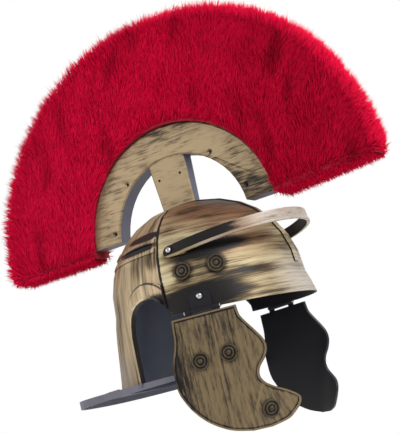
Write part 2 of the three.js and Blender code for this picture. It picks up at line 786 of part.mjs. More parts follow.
function hingePin() {
  const reach = BARREL_LENGTH / 2 + KNUCKLE_LENGTH + FIT;
  const shank = barAlongY(PIN, 2 * reach + PIN_HEAD.thickness, 8);
  const head = barAlongY(PIN_HEAD.diameter, PIN_HEAD.thickness, 8);
  const out = reach + PIN_HEAD.thickness / 2 + FIT;
  return shank.add(moved(head, 0, out, 0)).add(moved(head, 0, -out, 0));
}

// A point of the guard's middle face, for a length forwards from its rear corner and a drop.
function guardPoint(along, drop) {
  const { start, deepest, reach } = CHIN_BEND;
  const pastNotch = along - GUARD_NOTCH.along * GUARD_WIDTH;
  const belowNotch = drop - GUARD_NOTCH.drop * GUARD_DROP;
  const over = CHIN_DIRECTION.along * pastNotch + CHIN_DIRECTION.drop * belowNotch + start;
  const inward = deepest * (Math.max(over, 0) / reach) ** 2;
  return new THREE.Vector3(-inward, GUARD_HINGE_FROM_REAR - along, -GUARD_TOP - drop);
}

function guardNormal(along, drop) {
  const forward = guardPoint(along + 1, drop).sub(guardPoint(along - 1, drop));
  const down = guardPoint(along, drop + 1).sub(guardPoint(along, drop - 1));
  return new THREE.Vector3().crossVectors(forward, down).normalize();
}

// The outline in lengths: the rear and front edges at a drop.
function guardEdges(share) {
  return {
    rear: GUARD_WIDTH * between(GUARD_OUTLINE, "drop", share, "rear"),
    front: GUARD_WIDTH * between(GUARD_OUTLINE, "drop", share, "front"),
    drop: GUARD_DROP * share,
  };
}

function cheekPlate() {
  const top = GUARD_BORDER / GUARD_DROP;
  const body = steps(14).slice(0, 14);
  const rows = [0, top, top * 1.4, ...body.map((t) => 0.07 + 0.89 * t), 0.96, 0.985, 1];
  const outer = [];
  const inner = [];
  for (const share of rows) {
    const { rear, front, drop } = guardEdges(share);
    const width = front - rear;
    const [atRear, atFront] = ["rear", "front"].map((edge) => {
      const next = guardEdges(Math.min(share + 0.01, 1))[edge];
      const slope = (next - guardEdges(share)[edge]) / (0.01 * GUARD_DROP);
      return Math.min((GUARD_BORDER * Math.hypot(1, slope)) / width, 0.15);
    });
    const columns = [0, atRear, atRear * 1.4, 0.25, 0.5, 0.75, 1 - atFront * 1.4, 1 - atFront, 1];
    columns.forEach((column, c) => {
      const along = rear + width * column;
      const at = guardPoint(along, drop);
      const normal = guardNormal(along, drop);
      const onBorder = c < 2 || c > 6 || share <= top || share > 0.97;
      outer.push(at.clone().addScaledVector(normal, WALL / 2 + (onBorder ? GUARD_BORDER_HEIGHT : 0)));
      inner.push(at.clone().addScaledVector(normal, -WALL / 2));
    });
  }
  return sheet(outer, inner, rows.length, outer.length / rows.length);
}

// A closed body between two grids of points.
function sheet(outer, inner, rows, columns) {
  const points = [...outer, ...inner];
  const back = outer.length;
  const faces = [];
  const quad = (a, b, c, d) => faces.push(a, b, c, a, c, d);
  for (let r = 0; r + 1 < rows; r++) {
    for (let c = 0; c + 1 < columns; c++) {
      const a = r * columns + c;
      quad(a, a + 1, a + columns + 1, a + columns);
      quad(back + a, back + a + columns, back + a + columns + 1, back + a + 1);
    }
  }
  for (let r = 0; r + 1 < rows; r++) {
    const left = r * columns;
    const right = left + columns - 1;
    quad(left, left + columns, back + left + columns, back + left);
    quad(right, back + right, back + right + columns, right + columns);
  }
  for (let c = 0; c + 1 < columns; c++) {
    const low = (rows - 1) * columns + c;
    quad(c, back + c, back + c + 1, c + 1);
    quad(low, low + 1, back + low + 1, back + low);
  }
  return closedSolid(points, faces);
}

function cheekGuard() {
  const offset = BARREL_LENGTH / 2 + FIT + KNUCKLE_LENGTH / 2;
  let guard = cheekPlate();
  for (const y of [-offset, offset]) {
    guard = guard.add(moved(barAlongY(BARREL, KNUCKLE_LENGTH, 10), 0, y, 0));
    const half = KNUCKLE_LENGTH / 2;
    guard = guard.add(box(-WALL / 2, WALL / 2, y - half, y + half, -GUARD_TOP - 1, 0));
  }
  return guard.subtract(barAlongY(BARREL_BORE, FAR, 8));
}

// The turn about the hinge that brings the guard's centre of mass under the axis.
function hangingTurn(guard) {
  const mesh = geometryOf(guard);
  const at = mesh.getAttribute("position");
  const [a, b, c] = [new THREE.Vector3(), new THREE.Vector3(), new THREE.Vector3()];
  const sum = new THREE.Vector3();
  for (let i = 0; i < mesh.index.count; i += 3) {
    a.fromBufferAttribute(at, mesh.index.getX(i));
    b.fromBufferAttribute(at, mesh.index.getX(i + 1));
    c.fromBufferAttribute(at, mesh.index.getX(i + 2));
    const volume = a.dot(b.clone().cross(c)) / 6;
    sum.addScaledVector(a.add(b).add(c), volume / 4);
  }
  return Math.atan2(-sum.x, -sum.z);
}

// The assembly

function named(name, solid, material) {
  const mesh = new THREE.Mesh(geometryOf(solid), material);
  mesh.name = name;
  return mesh;
}

const GUARD = cheekGuard();
const GUARD_TURN = hangingTurn(GUARD);

// The hinge and the guard of one side, built for the wearer's left.
function cheekSide(side) {
  const hinge = new THREE.Group();
  const axisX = RIM_AT_HINGE.x + AXIS_OUT * Math.cos(HINGE_TOE);
  hinge.position.set(axisX, HINGE_Y + AXIS_OUT * Math.sin(HINGE_TOE), HINGE_Z);
  hinge.rotation.z = HINGE_TOE;
  hinge.add(named("hinge_leaf_" + side, hingeLeaf(), BLACK));
  hinge.add(named("hinge_pin_" + side, hingePin(), STEEL));
  const out = wallOut(LEAF_RIVET) + FIT + LEAF_THICKNESS;
  hinge.add(
    stood(
      "hinge_rivet_" + side,
      rivet(),
      STEEL,
      new THREE.Vector3(out, 0, LEAF_RIVET),
      new THREE.Vector3(1, 0, 0),
      2 * FIT,
    ),
  );
  const swinging = new THREE.Group();
  swinging.rotation.y = -GUARD_TURN;
  swinging.add(named("cheek_guard_" + side, GUARD, BRONZE));
  for (const [place, share] of Object.entries(GUARD_ROSETTES)) {
    const [along, drop] = [GUARD_WIDTH * share.along, GUARD_DROP * share.drop];
    const at = guardPoint(along, drop);
    const facing = guardNormal(along, drop);
    const lift = WALL / 2 + FIT;
    swinging.add(stood("cheek_rosette_" + side + "_" + place, rosette(), BRONZE, at, facing, lift));
  }
  hinge.add(swinging);
  return hinge;
}

// The trim of one side of the bowl, built for the wearer's left.
function bowlSideTrim(side) {
  const trim = new THREE.Group();
  for (const [place, share] of Object.entries(BOWL_ROSETTES)) {
    const [y, z] = [-BOWL_FRONT * share.forward, CROWN_Z - BOWL_DEPTH * share.depth];
    const { x, normal } = bowlSide(y, z);
    const at = new THREE.Vector3(x, y, z);
    trim.add(stood("bowl_rosette_" + side + "_" + place, rosette(), GOLD, at, normal, FIT));
  }
  const { x, y, z, normal } = browRivetPlace();
  const at = new THREE.Vector3(x, y, z);
  trim.add(stood("brow_rivet_" + side, rivet(), STEEL, at, normal, 2 * FIT + WALL + 0.3));
  return trim;
}

const helmet = new THREE.Group();
helmet.add(named("front_shell", frontShell(), GOLD));
helmet.add(named("rear_shell", rearShell(), GOLD));
helmet.add(named("crest_arch", crestArch(), GOLD));
helmet.add(named("crest_plume", crestPlume(), RED_FUR));
helmet.add(named("brow_guard", browGuard(), GOLD));
for (const side of ["left", "right"]) {
  const half = new THREE.Group();
  half.scale.x = side === "left" ? 1 : -1;
  half.add(bowlSideTrim(side));
  half.add(cheekSide(side));
  helmet.add(half);
}

export default helmet;
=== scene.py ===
# %% [markdown]
# # A Roman legionary helmet with a red plume
# The real thing is a light costume helmet: black plastic, moulded in two shells, dry-brushed with gold so
# that the black stays in the hollows, and crowned by a half ring of red plush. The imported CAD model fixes
# where everything is and how it moves. This lesson dresses it: plastic pieces are merged copies or new
# bmesh pieces, and the fur is real.

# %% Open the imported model
import math

import bmesh
import bpy
import numpy as np
from mathutils import Matrix, Vector


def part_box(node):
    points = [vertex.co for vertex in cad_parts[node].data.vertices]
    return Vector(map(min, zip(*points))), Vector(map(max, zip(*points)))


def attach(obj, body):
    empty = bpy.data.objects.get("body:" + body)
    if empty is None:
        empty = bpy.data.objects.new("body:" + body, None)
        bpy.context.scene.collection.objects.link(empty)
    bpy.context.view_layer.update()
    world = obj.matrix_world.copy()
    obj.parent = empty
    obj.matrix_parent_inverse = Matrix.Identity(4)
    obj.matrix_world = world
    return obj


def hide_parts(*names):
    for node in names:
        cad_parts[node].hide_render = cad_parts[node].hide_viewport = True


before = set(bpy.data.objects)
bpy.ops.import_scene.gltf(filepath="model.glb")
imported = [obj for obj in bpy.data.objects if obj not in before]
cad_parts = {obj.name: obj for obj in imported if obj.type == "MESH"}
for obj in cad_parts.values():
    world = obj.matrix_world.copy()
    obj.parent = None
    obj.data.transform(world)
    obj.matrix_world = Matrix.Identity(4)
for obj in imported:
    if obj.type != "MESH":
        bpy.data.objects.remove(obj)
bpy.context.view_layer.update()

MM = 0.001

# %% [markdown]
# ## Camera
# The photograph looks up a little at the wearer's right side, and its frame is rolled, so the crest leans.
# A camera turned the same way keeps the helmet itself upright, which a tilted model wouldn't.

# %% The camera at the photograph's place
EYE = Vector((-1.0467, -0.5497, -0.2279))
TURN, TILT, ROLL = (math.radians(angle) for angle in (27.0, -10.3, 13.8))
SENSOR, PHOTO_HEIGHT, FOCAL_PIXELS = 36, 434, 1140
level = Vector((math.sin(TURN), -math.cos(TURN), 0))
back = Vector((-math.cos(TURN) * math.cos(TILT), -math.sin(TURN) * math.cos(TILT), math.sin(TILT)))
upright = back.cross(level)
picture_right = math.cos(ROLL) * level - math.sin(ROLL) * upright
picture_up = math.sin(ROLL) * level + math.cos(ROLL) * upright
lens = bpy.data.cameras.new("studio_camera")
lens.sensor_width = SENSOR
lens.lens = SENSOR * FOCAL_PIXELS / PHOTO_HEIGHT
lens.clip_start = 0.05
camera = bpy.data.objects.new("studio_camera", lens)
pointed = Matrix((picture_right, picture_up, back)).transposed().to_4x4()
camera.matrix_world = Matrix.Translation(EYE) @ pointed
bpy.context.collection.objects.link(camera)
bpy.context.scene.camera = camera
bpy.context.scene.view_settings.view_transform = "Standard"
print("lens", round(lens.lens, 1), "mm")

# %% [markdown]
# ## Studio
# Soft boxes give the plastic its broad pale sheen and the fur its bright edge. The room is white, and a
# Light Path node keeps the white that the camera sees apart from the weaker light that the room throws on
# the helmet.

# %% Soft boxes and white room
def soft_box(name, place, size, power, tint=(1, 1, 1)):
    light = bpy.data.lights.new(name, "AREA")
    light.shape, light.size, light.energy, light.color = "DISK", size, power, tint
    lamp = bpy.data.objects.new(name, light)
    lamp.location = place
    lamp.rotation_euler = (Vector((0, -0.02, 0)) - Vector(place)).to_track_quat("-Z", "Y").to_euler()
    bpy.context.collection.objects.link(lamp)


soft_box("key_box", (-0.9, -1.5, 1.1), 1.0, 22)
soft_box("rim_box", (0.7, -1.1, 1.2), 0.8, 16)
soft_box("left_box", (-1.2, 1.3, 0.5), 1.0, 8)

room = bpy.data.worlds.new("white_room")
bpy.context.scene.world = room
room.use_nodes = True
air = room.node_tree
air.nodes.clear()
seen = air.nodes.new("ShaderNodeBackground")
thrown = air.nodes.new("ShaderNodeBackground")
seen.inputs["Color"].default_value = thrown.inputs["Color"].default_value = (1, 1, 1, 1)
seen.inputs["Strength"].default_value = 1.0
thrown.inputs["Strength"].default_value = 0.55
chosen = air.nodes.new("ShaderNodeMixShader")
air.links.new(air.nodes.new("ShaderNodeLightPath").outputs["Is Camera Ray"], chosen.inputs["Fac"])
air.links.new(thrown.outputs[0], chosen.inputs[1])
air.links.new(seen.outputs[0], chosen.inputs[2])
air.links.new(chosen.outputs[0], air.nodes.new("ShaderNodeOutputWorld").inputs["Surface"])

# %% [markdown]
# ## Helpers for nodes
# A shader tree is quicker to read when each line adds a node and says what goes into it.

# %% Add a node and fill its sockets
def put(tree, kind, inputs=(), **settings):
    made = tree.nodes.new(kind)
    for key, value in settings.items():
        setattr(made, key, value)
    for key, value in dict(inputs).items():
        if isinstance(value, bpy.types.NodeSocket):
            tree.links.new(value, made.inputs[key])
        else:
            made.inputs[key].default_value = value
    return made


def sum_of(tree, operation, a, b=0.0, c=0.0):
    return put(tree, "ShaderNodeMath", {0: a, 1: b, 2: c}, operation=operation).outputs[0]


def vector_of(tree, operation, a, b=(0, 0, 0), c=(0, 0, 0)):
    made = put(tree, "ShaderNodeVectorMath", {0: a, 1: b, 2: c}, operation=operation)
    return made.outputs["Value" if operation == "LENGTH" else "Vector"]


def noise_of(tree, place, scale, detail=2.0, rough=0.5):
    inputs = {"Vector": place, "Scale": scale, "Detail": detail, "Roughness": rough}
    return put(tree, "ShaderNodeTexNoise", inputs).outputs["Fac"]


def blend_of(tree, share, a, b):
    return put(tree, "ShaderNodeMix", {0: share, 6: a, 7: b}, data_type="RGBA").outputs[2]


def ramp_of(tree, value, low, high):
    inputs = {"Value": value, "From Min": low, "From Max": high}
    return put(tree, "ShaderNodeMapRange", inputs, interpolation_type="SMOOTHSTEP").outputs[0]


def object_place(tree):
    return put(tree, "ShaderNodeTexCoord").outputs["Object"]


def attribute_parts(tree, name):
    read = put(tree, "ShaderNodeAttribute", attribute_name=name).outputs["Color"]
    return put(tree, "ShaderNodeSeparateColor", {0: read}).outputs


def raise_surface(tree, shader, height, strength, distance):
    inputs = {"Height": height, "Strength": strength, "Distance": distance}
    tree.links.new(put(tree, "ShaderNodeBump", inputs).outputs[0], shader.inputs["Normal"])


def colour(red, green, blue):
    """A display colour, 0 to 255, as the linear colour that a shader takes."""
    shares = [v / 255 for v in (red, green, blue)]
    return (*[v / 12.92 if v < 11 / 255 else ((v + 0.055) / 1.055) ** 2.4 for v in shares], 1)


def new_group(name, inputs, outputs):
    group = bpy.data.node_groups.new(name, "ShaderNodeTree")
    for socket, kind in inputs:
        group.interface.new_socket(name=socket, in_out="INPUT", socket_type="NodeSocket" + kind)
    for socket, kind in outputs:
        group.interface.new_socket(name=socket, in_out="OUTPUT", socket_type="NodeSocket" + kind)
    return group, put(group, "NodeGroupInput").outputs, put(group, "NodeGroupOutput").inputs

# %% [markdown]
# ## Dry brushing
# A nearly dry brush leaves gold on what stands proud, in streaks the way it was drawn, and misses the
# hollows. One group works out where the paint is, for every piece: stretched noise for the brush, a slow
# noise for the hand's pressure, and two inputs: one for what is missed, which also takes painted shade such
# as the shadow under the brow guard, and one for the worn edges and the creases, whose darker line is partly
# painted shade.

# %% The dry-brush group
SWAY, SWAY_SCALE = 0.0025, 14.0  # how far the hand wavers, in metres, and how often in a metre
STREAKS, HAIRS, PRESSURE, MISSED_AND_SHADE, EDGE = 0.95, 0.55, 0.75, -0.5, 0.3  # what each adds to the paint
brush_group, given, wanted = new_group(
    "dry_brush",
    [("Vector", "Vector"), ("Stretch", "Vector"), ("Bare", "Float"), ("Missed and shade", "Float"), ("Edge", "Float")],
    [("Paint", "Float"), ("Tone", "Float"), ("Roughness", "Float"), ("Height", "Float")],
)
inputs = {"Vector": given["Vector"], "Scale": SWAY_SCALE, "Detail": 1.0}
sway = put(brush_group, "ShaderNodeTexNoise", inputs).outputs["Color"]
bent = vector_of(brush_group, "MULTIPLY_ADD", sway, (SWAY, SWAY, SWAY), given["Vector"])
drawn = vector_of(brush_group, "MULTIPLY", bent, given["Stretch"])
streaks = noise_of(brush_group, drawn, 1.0, 5.0, 0.58)
hairs = noise_of(brush_group, drawn, 3.3, 3.0, 0.6)
pressure = noise_of(brush_group, vector_of(brush_group, "MULTIPLY", drawn, (0.2, 1.3, 0.3)), 1.0)
own = ((streaks, STREAKS), (hairs, HAIRS), (pressure, PRESSURE))
asked = ((given["Missed and shade"], MISSED_AND_SHADE), (given["Edge"], EDGE))
amount = 0.0
for layer, weight in own + asked:
    amount = sum_of(brush_group, "MULTIPLY_ADD", layer, weight, amount)
amount = sum_of(brush_group, "SUBTRACT", amount, given["Bare"])
paint = ramp_of(brush_group, amount, 0.26, 0.70)
gloss = sum_of(brush_group, "MULTIPLY_ADD", hairs, 0.12, 0.33)
relief = sum_of(brush_group, "MULTIPLY", paint, 0.4)
results = {
    "Paint": paint,
    "Tone": ramp_of(brush_group, amount, 0.42, 0.92),
    "Roughness": sum_of(brush_group, "MULTIPLY_ADD", paint, 0.12, gloss),
    "Height": sum_of(brush_group, "MULTIPLY_ADD", hairs, 0.6, relief),
}
for name, value in results.items():
    brush_group.links.new(value, wanted[name])
print("dry brush:", len(brush_group.nodes), "nodes")

# %% [markdown]
# ## A patch
# Some places are dark on every copy of this helmet, such as above the hinge, and some patches are painted
# shade, such as the shadow under the brow guard. A patch is a soft ellipsoid: 1 in its middle and 0 at its
# reach, the same on both sides because it reads the distance from the middle plane.

# %% The patch group
patch_group, given, wanted = new_group(
    "patch", [("Vector", "Vector"), ("Centre", "Vector"), ("Reach", "Vector")], [("Mask", "Float")]
)
offset = vector_of(patch_group, "SUBTRACT", given["Vector"], given["Centre"])
length = vector_of(patch_group, "LENGTH", vector_of(patch_group, "DIVIDE", offset, given["Reach"]))
patch_group.links.new(ramp_of(patch_group, length, 1.0, 0.35), wanted["Mask"])

# %% [markdown]
# ## The plastic finishes
# Gold and bare black are one plastic, so one function makes each finish from its colours, the way it was
# brushed and its patches. The black is a glossy moulding, and the paint over it is rougher and a little
# metallic.

# %% A painted plastic
BLACK_PLASTIC = colour(17, 13, 11)
PLASTIC_SPECULAR = 0.35
DOME_MIDDLE, LONG_SHARE = 85, 0.75  # the dome's middle under the crown in mm, and its width to its length


def new_material(name, rough=0.4):
    made = bpy.data.materials.new(name)
    made.use_nodes = True
    tree = made.node_tree
    shader = tree.nodes["Principled BSDF"]
    shader.inputs["Roughness"].default_value = rough
    return made, tree, shader


def folded(tree):
    """The parts of the place, with the sideways one made positive: both sides are painted alike."""
    parts = put(tree, "ShaderNodeSeparateXYZ", {0: object_place(tree)}).outputs
    return sum_of(tree, "ABSOLUTE", parts[0]), parts[1], parts[2]


def joined(tree, x, y, z=0.0):
    return put(tree, "ShaderNodeCombineXYZ", {0: x, 1: y, 2: z}).outputs[0]


def latitude(tree, x, y, z):
    """How far a place is from the crown, along the bowl, and how far round the bowl it is."""
    long = sum_of(tree, "MULTIPLY", y, LONG_SHARE)
    out = sum_of(tree, "SQRT", sum_of(tree, "MULTIPLY_ADD", x, x, sum_of(tree, "MULTIPLY", long, long)))
    down = sum_of(tree, "ARCTAN2", out, sum_of(tree, "ADD", z, DOME_MIDDLE * MM))
    round_it = sum_of(tree, "ARCTAN2", x, sum_of(tree, "ABSOLUTE", y))
    return sum_of(tree, "MULTIPLY", down, 0.1), sum_of(tree, "MULTIPLY", round_it, 0.1)


def round_the_bowl(tree, x, y, z):
    """Strokes that go round the bowl from the seam to the brow."""
    down, round_it = latitude(tree, x, y, z)
    return joined(tree, down, round_it)


def down_the_neck(tree, x, y, z):
    """Strokes that run down the back of the head."""
    down, round_it = latitude(tree, x, y, z)
    return joined(tree, round_it, down)


def spots_of(tree, place, patches):
    """The sum of some patches, each a centre and a reach in mm and a strength."""
    total = 0.0
    for centre, reach, strength in patches:
        spot = put(tree, "ShaderNodeGroup", node_tree=patch_group)
        tree.links.new(place, spot.inputs["Vector"])
        spot.inputs["Centre"].default_value = [v * MM for v in centre]
        spot.inputs["Reach"].default_value = [v * MM for v in reach]
        total = sum_of(tree, "MULTIPLY_ADD", spot.outputs[0], strength, total)
    return total


def painted(name, light, deep, stretch, bare, flow=joined, missed_and_shade=(), metal=0.45, mask=None, tints=()):
    made, tree, shader = new_material(name)
    x, y, z = folded(tree)
    place = joined(tree, x, y, z)
    dark = spots_of(tree, place, missed_and_shade)
    if mask:
        dark = sum_of(tree, "ADD", mask(tree, x, y, z), dark)
    brush = put(tree, "ShaderNodeGroup", node_tree=brush_group)
    tree.links.new(flow(tree, x, y, z), brush.inputs["Vector"])
    brush.inputs["Stretch"].default_value = stretch
    brush.inputs["Bare"].default_value = bare
    if isinstance(dark, bpy.types.NodeSocket):
        tree.links.new(dark, brush.inputs["Missed and shade"])
    proud = put(tree, "ShaderNodeNewGeometry").outputs["Pointiness"]
    # Creases get less paint, as the brush misses them, and their dark line also stands in for the shade in
    # them, so it is partly painted shade; convex edges get more paint, as worn edges do.
    hollow, edge = ramp_of(tree, proud, 0.49, 0.44), ramp_of(tree, proud, 0.51, 0.6)
    tree.links.new(sum_of(tree, "MULTIPLY_ADD", hollow, -2.0, edge), brush.inputs["Edge"])
    gold = blend_of(tree, brush.outputs["Tone"], deep, light)
    for centre, reach, strength, tint in tints:
        gold = blend_of(tree, spots_of(tree, place, [(centre, reach, strength)]), gold, tint)
    tree.links.new(blend_of(tree, brush.outputs["Paint"], BLACK_PLASTIC, gold), shader.inputs["Base Color"])
    tree.links.new(brush.outputs["Roughness"], shader.inputs["Roughness"])
    tree.links.new(sum_of(tree, "MULTIPLY", brush.outputs["Paint"], metal), shader.inputs["Metallic"])
    shader.inputs["Specular IOR Level"].default_value = PLASTIC_SPECULAR
    raise_surface(tree, shader, brush.outputs["Height"], 0.4, 0.0005)
    return made

# %% [markdown]
# ## Dark lines at the seam and at the foot of the ear band
# A seam is too fine for a patch, so its dark line comes from the distance to a plane; the line is the bare
# joint, and it also stands in for the shadow of the front shell's edge, as painted shadow. The foot of the
# raised band over the ear is an arch, so its line comes from the distance to an ellipse, and that line is
# painted shadow at the foot of the band. A painted image could hold both, but these stay sharp at any size.

# %% Dark lines at the seam and the ear band: bare joint and painted shadow
SEAM_Y, SEAM_SLOPE = -1.1, 0.0422  # the seam at the crown's height, and how it leans to the ear
EAR_BAND = {"y": 18, "z": -118, "reach": 32.5, "rise": 40}  # its foot is an arch over the ear


def line_at(tree, distance, half):
    """1 on a line and 0 from half a width away, for a distance from it."""
    return ramp_of(tree, sum_of(tree, "ABSOLUTE", distance), half * MM, 0.3 * half * MM)


def seam_line(tree, x, y, z):
    """The seam between the shells: the bare joint, and painted shadow of the front shell's edge."""
    seam_y = sum_of(tree, "MULTIPLY_ADD", z, SEAM_SLOPE, SEAM_Y * MM)
    return sum_of(tree, "MULTIPLY", line_at(tree, sum_of(tree, "SUBTRACT", y, seam_y), 1.9), 1.2)


def seam_and_ear_band(tree, x, y, z):
    """The seam, and the painted shadow at the foot of the raised band over the ear."""
    along = sum_of(tree, "DIVIDE", sum_of(tree, "SUBTRACT", y, EAR_BAND["y"] * MM), EAR_BAND["reach"] * MM)
    up = sum_of(tree, "DIVIDE", sum_of(tree, "SUBTRACT", z, EAR_BAND["z"] * MM), EAR_BAND["rise"] * MM)
    out = sum_of(tree, "SQRT", sum_of(tree, "MULTIPLY_ADD", along, along, sum_of(tree, "MULTIPLY", up, up)))
    size = (EAR_BAND["reach"] + EAR_BAND["rise"]) / 2 * MM
    foot = sum_of(tree, "MULTIPLY", line_at(tree, sum_of(tree, "MULTIPLY_ADD", out, size, -size), 1.3), 0.7)
    foot = sum_of(tree, "MULTIPLY", foot, ramp_of(tree, z, -135 * MM, -112 * MM))
    return sum_of(tree, "MAXIMUM", seam_line(tree, x, y, z), foot)


def round_bosses(strength, *nodes):
    """A dark spot round each boss, where the brush rode over it."""
    boxes = [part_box(node) for node in nodes]
    return [([(a + b) / 2 / MM for a, b in zip(low, high)], (14, 14, 14), strength) for low, high in boxes]

# %% [markdown]
# ## The finishes by name
# Each finish is the same recipe with its own colours, strokes and patches. A patch is a centre, a reach and
# a strength, and a negative strength adds paint instead of missing it. A tint shifts the gold inside its
# patch: the brown ones because the paint went on in more than one colour, and the pale grey and lilac ones
# on the shells as painted glare and sheen.

# %% The finishes by name
BOWL_GOLD, BOWL_DEEP = colour(210, 195, 156), colour(126, 104, 72)
ARCH_GOLD, ARCH_DEEP = colour(174, 153, 120), colour(118, 100, 75)
BRONZE, DEEP_BRONZE = colour(132, 114, 84), colour(88, 74, 58)

bowl_paint = painted(
    "bowl_gold", BOWL_GOLD, BOWL_DEEP, (230, 12, 1), 0.50, round_the_bowl,
    missed_and_shade=[
        ((82, -40, -107), (60, 58, 20), 1.5),
        # Painted shadow under the brow guard.
        ((85, -58, -60), (60, 62, 12), 1.15),
        *round_bosses(0.7, "bowl_rosette_left_rear", "bowl_rosette_left_front"),
        ((62, -108, -90), (60, 70, 6), 0.28),
        ((40, -50, -10), (50, 60, 26), 0.35),
    ],
    mask=seam_line,
    tints=[
        ((20, -60, 0), (110, 110, 62), 1.0, colour(142, 104, 76)),
        # Painted glare: a pale grey at the front of the bowl, below the brow.
        ((0, -145, -105), (80, 70, 50), 0.8, colour(184, 177, 172)),
        ((62, -96, -58), (60, 54, 26), 0.6, colour(150, 114, 84)),
    ],
)
rear_paint = painted(
    "rear_gold", colour(200, 179, 146), BOWL_DEEP, (260, 10, 1), 0.47, down_the_neck,
    missed_and_shade=[
        ((60, 12, -31), (80, 34, 5), 1.3),
        ((70, 22, -42), (80, 34, 5), 1.3),
        ((84, 3, -56), (40, 12, 16), 0.5),
        ((92, 4, -102), (30, 19, 13), 1.5),
        ((92, 26, -125), (40, 46, 70), -0.2),
    ],
    mask=seam_and_ear_band,
    tints=[
        # Painted sheen: pale lilac on the back of the shell, and pale grey low on the neck.
        ((40, 125, -60), (90, 50, 70), 0.8, colour(186, 172, 178)),
        ((60, 110, -160), (70, 80, 40), 0.7, colour(170, 156, 146)),
    ],
)
arch_paint = painted(
    "crest_gold", ARCH_GOLD, ARCH_DEEP, (60, 46, 620), 0.37,
    missed_and_shade=[
        ((11, -92, 18), (30, 60, 80), 0.6),
        ((11, -20, 88), (30, 80, 34), 0.4),
        ((10, 6, 40), (30, 26, 52), -0.3),
    ],
)
BOSS, DEEP_BOSS = colour(84, 73, 56), colour(50, 43, 35)
boss_paint = painted("rosette_bronze", BOSS, DEEP_BOSS, (160, 160, 160), 0.46, metal=0.5)


def bare_plastic(name, tone, rough):
    """The moulding where no paint reached it, with the faint orange peel of a cheap mould."""
    made, tree, shader = new_material(name, rough)
    place = object_place(tree)
    cloud = noise_of(tree, place, 60.0, 3.0)
    brighter = (*[v * 1.5 for v in tone[:3]], 1)
    tree.links.new(blend_of(tree, cloud, tone, brighter), shader.inputs["Base Color"])
    tree.links.new(sum_of(tree, "MULTIPLY_ADD", cloud, 0.2, rough - 0.1), shader.inputs["Roughness"])
    shader.inputs["Specular IOR Level"].default_value = PLASTIC_SPECULAR
    raise_surface(tree, shader, noise_of(tree, place, 900.0, 1.0), 0.15, 0.0002)
    return made


black_moulding = bare_plastic("black_moulding", colour(13, 12, 17), 0.46)
# The three mouldings below are the same black plastic drawn paler blue-grey, as painted sheen: the inside and
# underside of the rear shell, the narrow sides of the arch, and the neck guard's bare rim.
lit_inside_moulding = bare_plastic("lit_inside_moulding", colour(64, 67, 80), 0.36)
holder_sheen_moulding = bare_plastic("holder_sheen_moulding", colour(86, 87, 103), 0.42)
rim_sheen_moulding = bare_plastic("rim_sheen_moulding", colour(96, 94, 104), 0.36)


def steel_finish():
    made, tree, shader = new_material("rivet_steel", 0.3)
    shader.inputs["Metallic"].default_value = 1.0
    worn = noise_of(tree, object_place(tree), 700.0, 3.0)
    bright = blend_of(tree, worn, colour(168, 162, 166), colour(228, 222, 224))
    tree.links.new(bright, shader.inputs["Base Color"])
    tree.links.new(sum_of(tree, "MULTIPLY_ADD", worn, 0.25, 0.18), shader.inputs["Roughness"])
    return made


steel = steel_finish()

# %% [markdown]
# ## Dressing a CAD node
# The CAD solids arrive as loose triangles. A merged copy can be shaded smooth between its sharp edges and
# given a fine bevel, which is what makes moulded plastic look moulded. The function also hands each face
# its finish.

# %% A merged, bevelled copy of a node
def finish_piece(name, bm, materials, body, stands_for=(), bevel=0.4, sharp=32):
    for edge in bm.edges:
        edge.smooth = len(edge.link_faces) == 2 and edge.calc_face_angle(3.0) < math.radians(sharp)
    for face in bm.faces:
        face.smooth = True
    mesh = bpy.data.meshes.new(name)
    bm.to_mesh(mesh)
    bm.free()
    for material in materials:
        mesh.materials.append(material)
    piece = bpy.data.objects.new(name, mesh)
    bpy.context.collection.objects.link(piece)
    if bevel:
        rounding = piece.modifiers.new("soft edges", "BEVEL")
        rounding.width, rounding.segments, rounding.profile = bevel * MM, 2, 0.5
        rounding.limit_method, rounding.angle_limit = "ANGLE", math.radians(sharp)
        rounding.harden_normals = True
    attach(piece, body)
    if stands_for:
        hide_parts(*stands_for)
    print(name, len(mesh.polygons), "faces")
    return piece


def copy_of(node):
    bm = bmesh.new()
    bm.from_mesh(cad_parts[node].data)
    bmesh.ops.remove_doubles(bm, verts=bm.verts, dist=0.02 * MM)
    bmesh.ops.dissolve_degenerate(bm, edges=bm.edges, dist=0.01 * MM)
    return bm

# %% [markdown]
# ## The bowl
# Both shells are painted outside and bare inside. A face is inside when it looks towards the middle of the
# head, and the neck guard's edge and underside missed the brush as well. The rear shell's bare inside and
# the neck guard's bare edge are the black plastic drawn paler, as painted sheen. The walls of steps and
# grooves stay dark, because a brush rides over them.

# %% Front and rear shells
groove_moulding = bare_plastic("groove_moulding", colour(22, 18, 17), 0.5)
OUTSIDE, INSIDE, RIM, GROOVE = range(4)
HEAD_MIDDLE = Vector((0, 0, -0.075))
NECK_Z, PLATE_Z, EAR_FOOT_Z = -0.160, -0.168, -0.1712
HOLE_Y, HOLE_SIDE, HOLE_LENGTH = 0.010, 0.0895, 0.1095
PLATE_Y, PLATE_SIDE, PLATE_LENGTH, PLATE_SQUARENESS = 0.005, 0.089, 0.156, 2.7
WALL_FACING, EDGE_FACING = 0.55, 0.5  # the most that a wall looks out of the bowl, or an edge up


def in_neck_hole(at):
    return (at.x / HOLE_SIDE) ** 2 + ((at.y - HOLE_Y) / HOLE_LENGTH) ** 2 < 1


def at_plate_edge(at):
    sideways, back = abs(at.x) / PLATE_SIDE, max(at.y - PLATE_Y, 0) / PLATE_LENGTH
    return sideways ** PLATE_SQUARENESS + back ** PLATE_SQUARENESS > 0.9


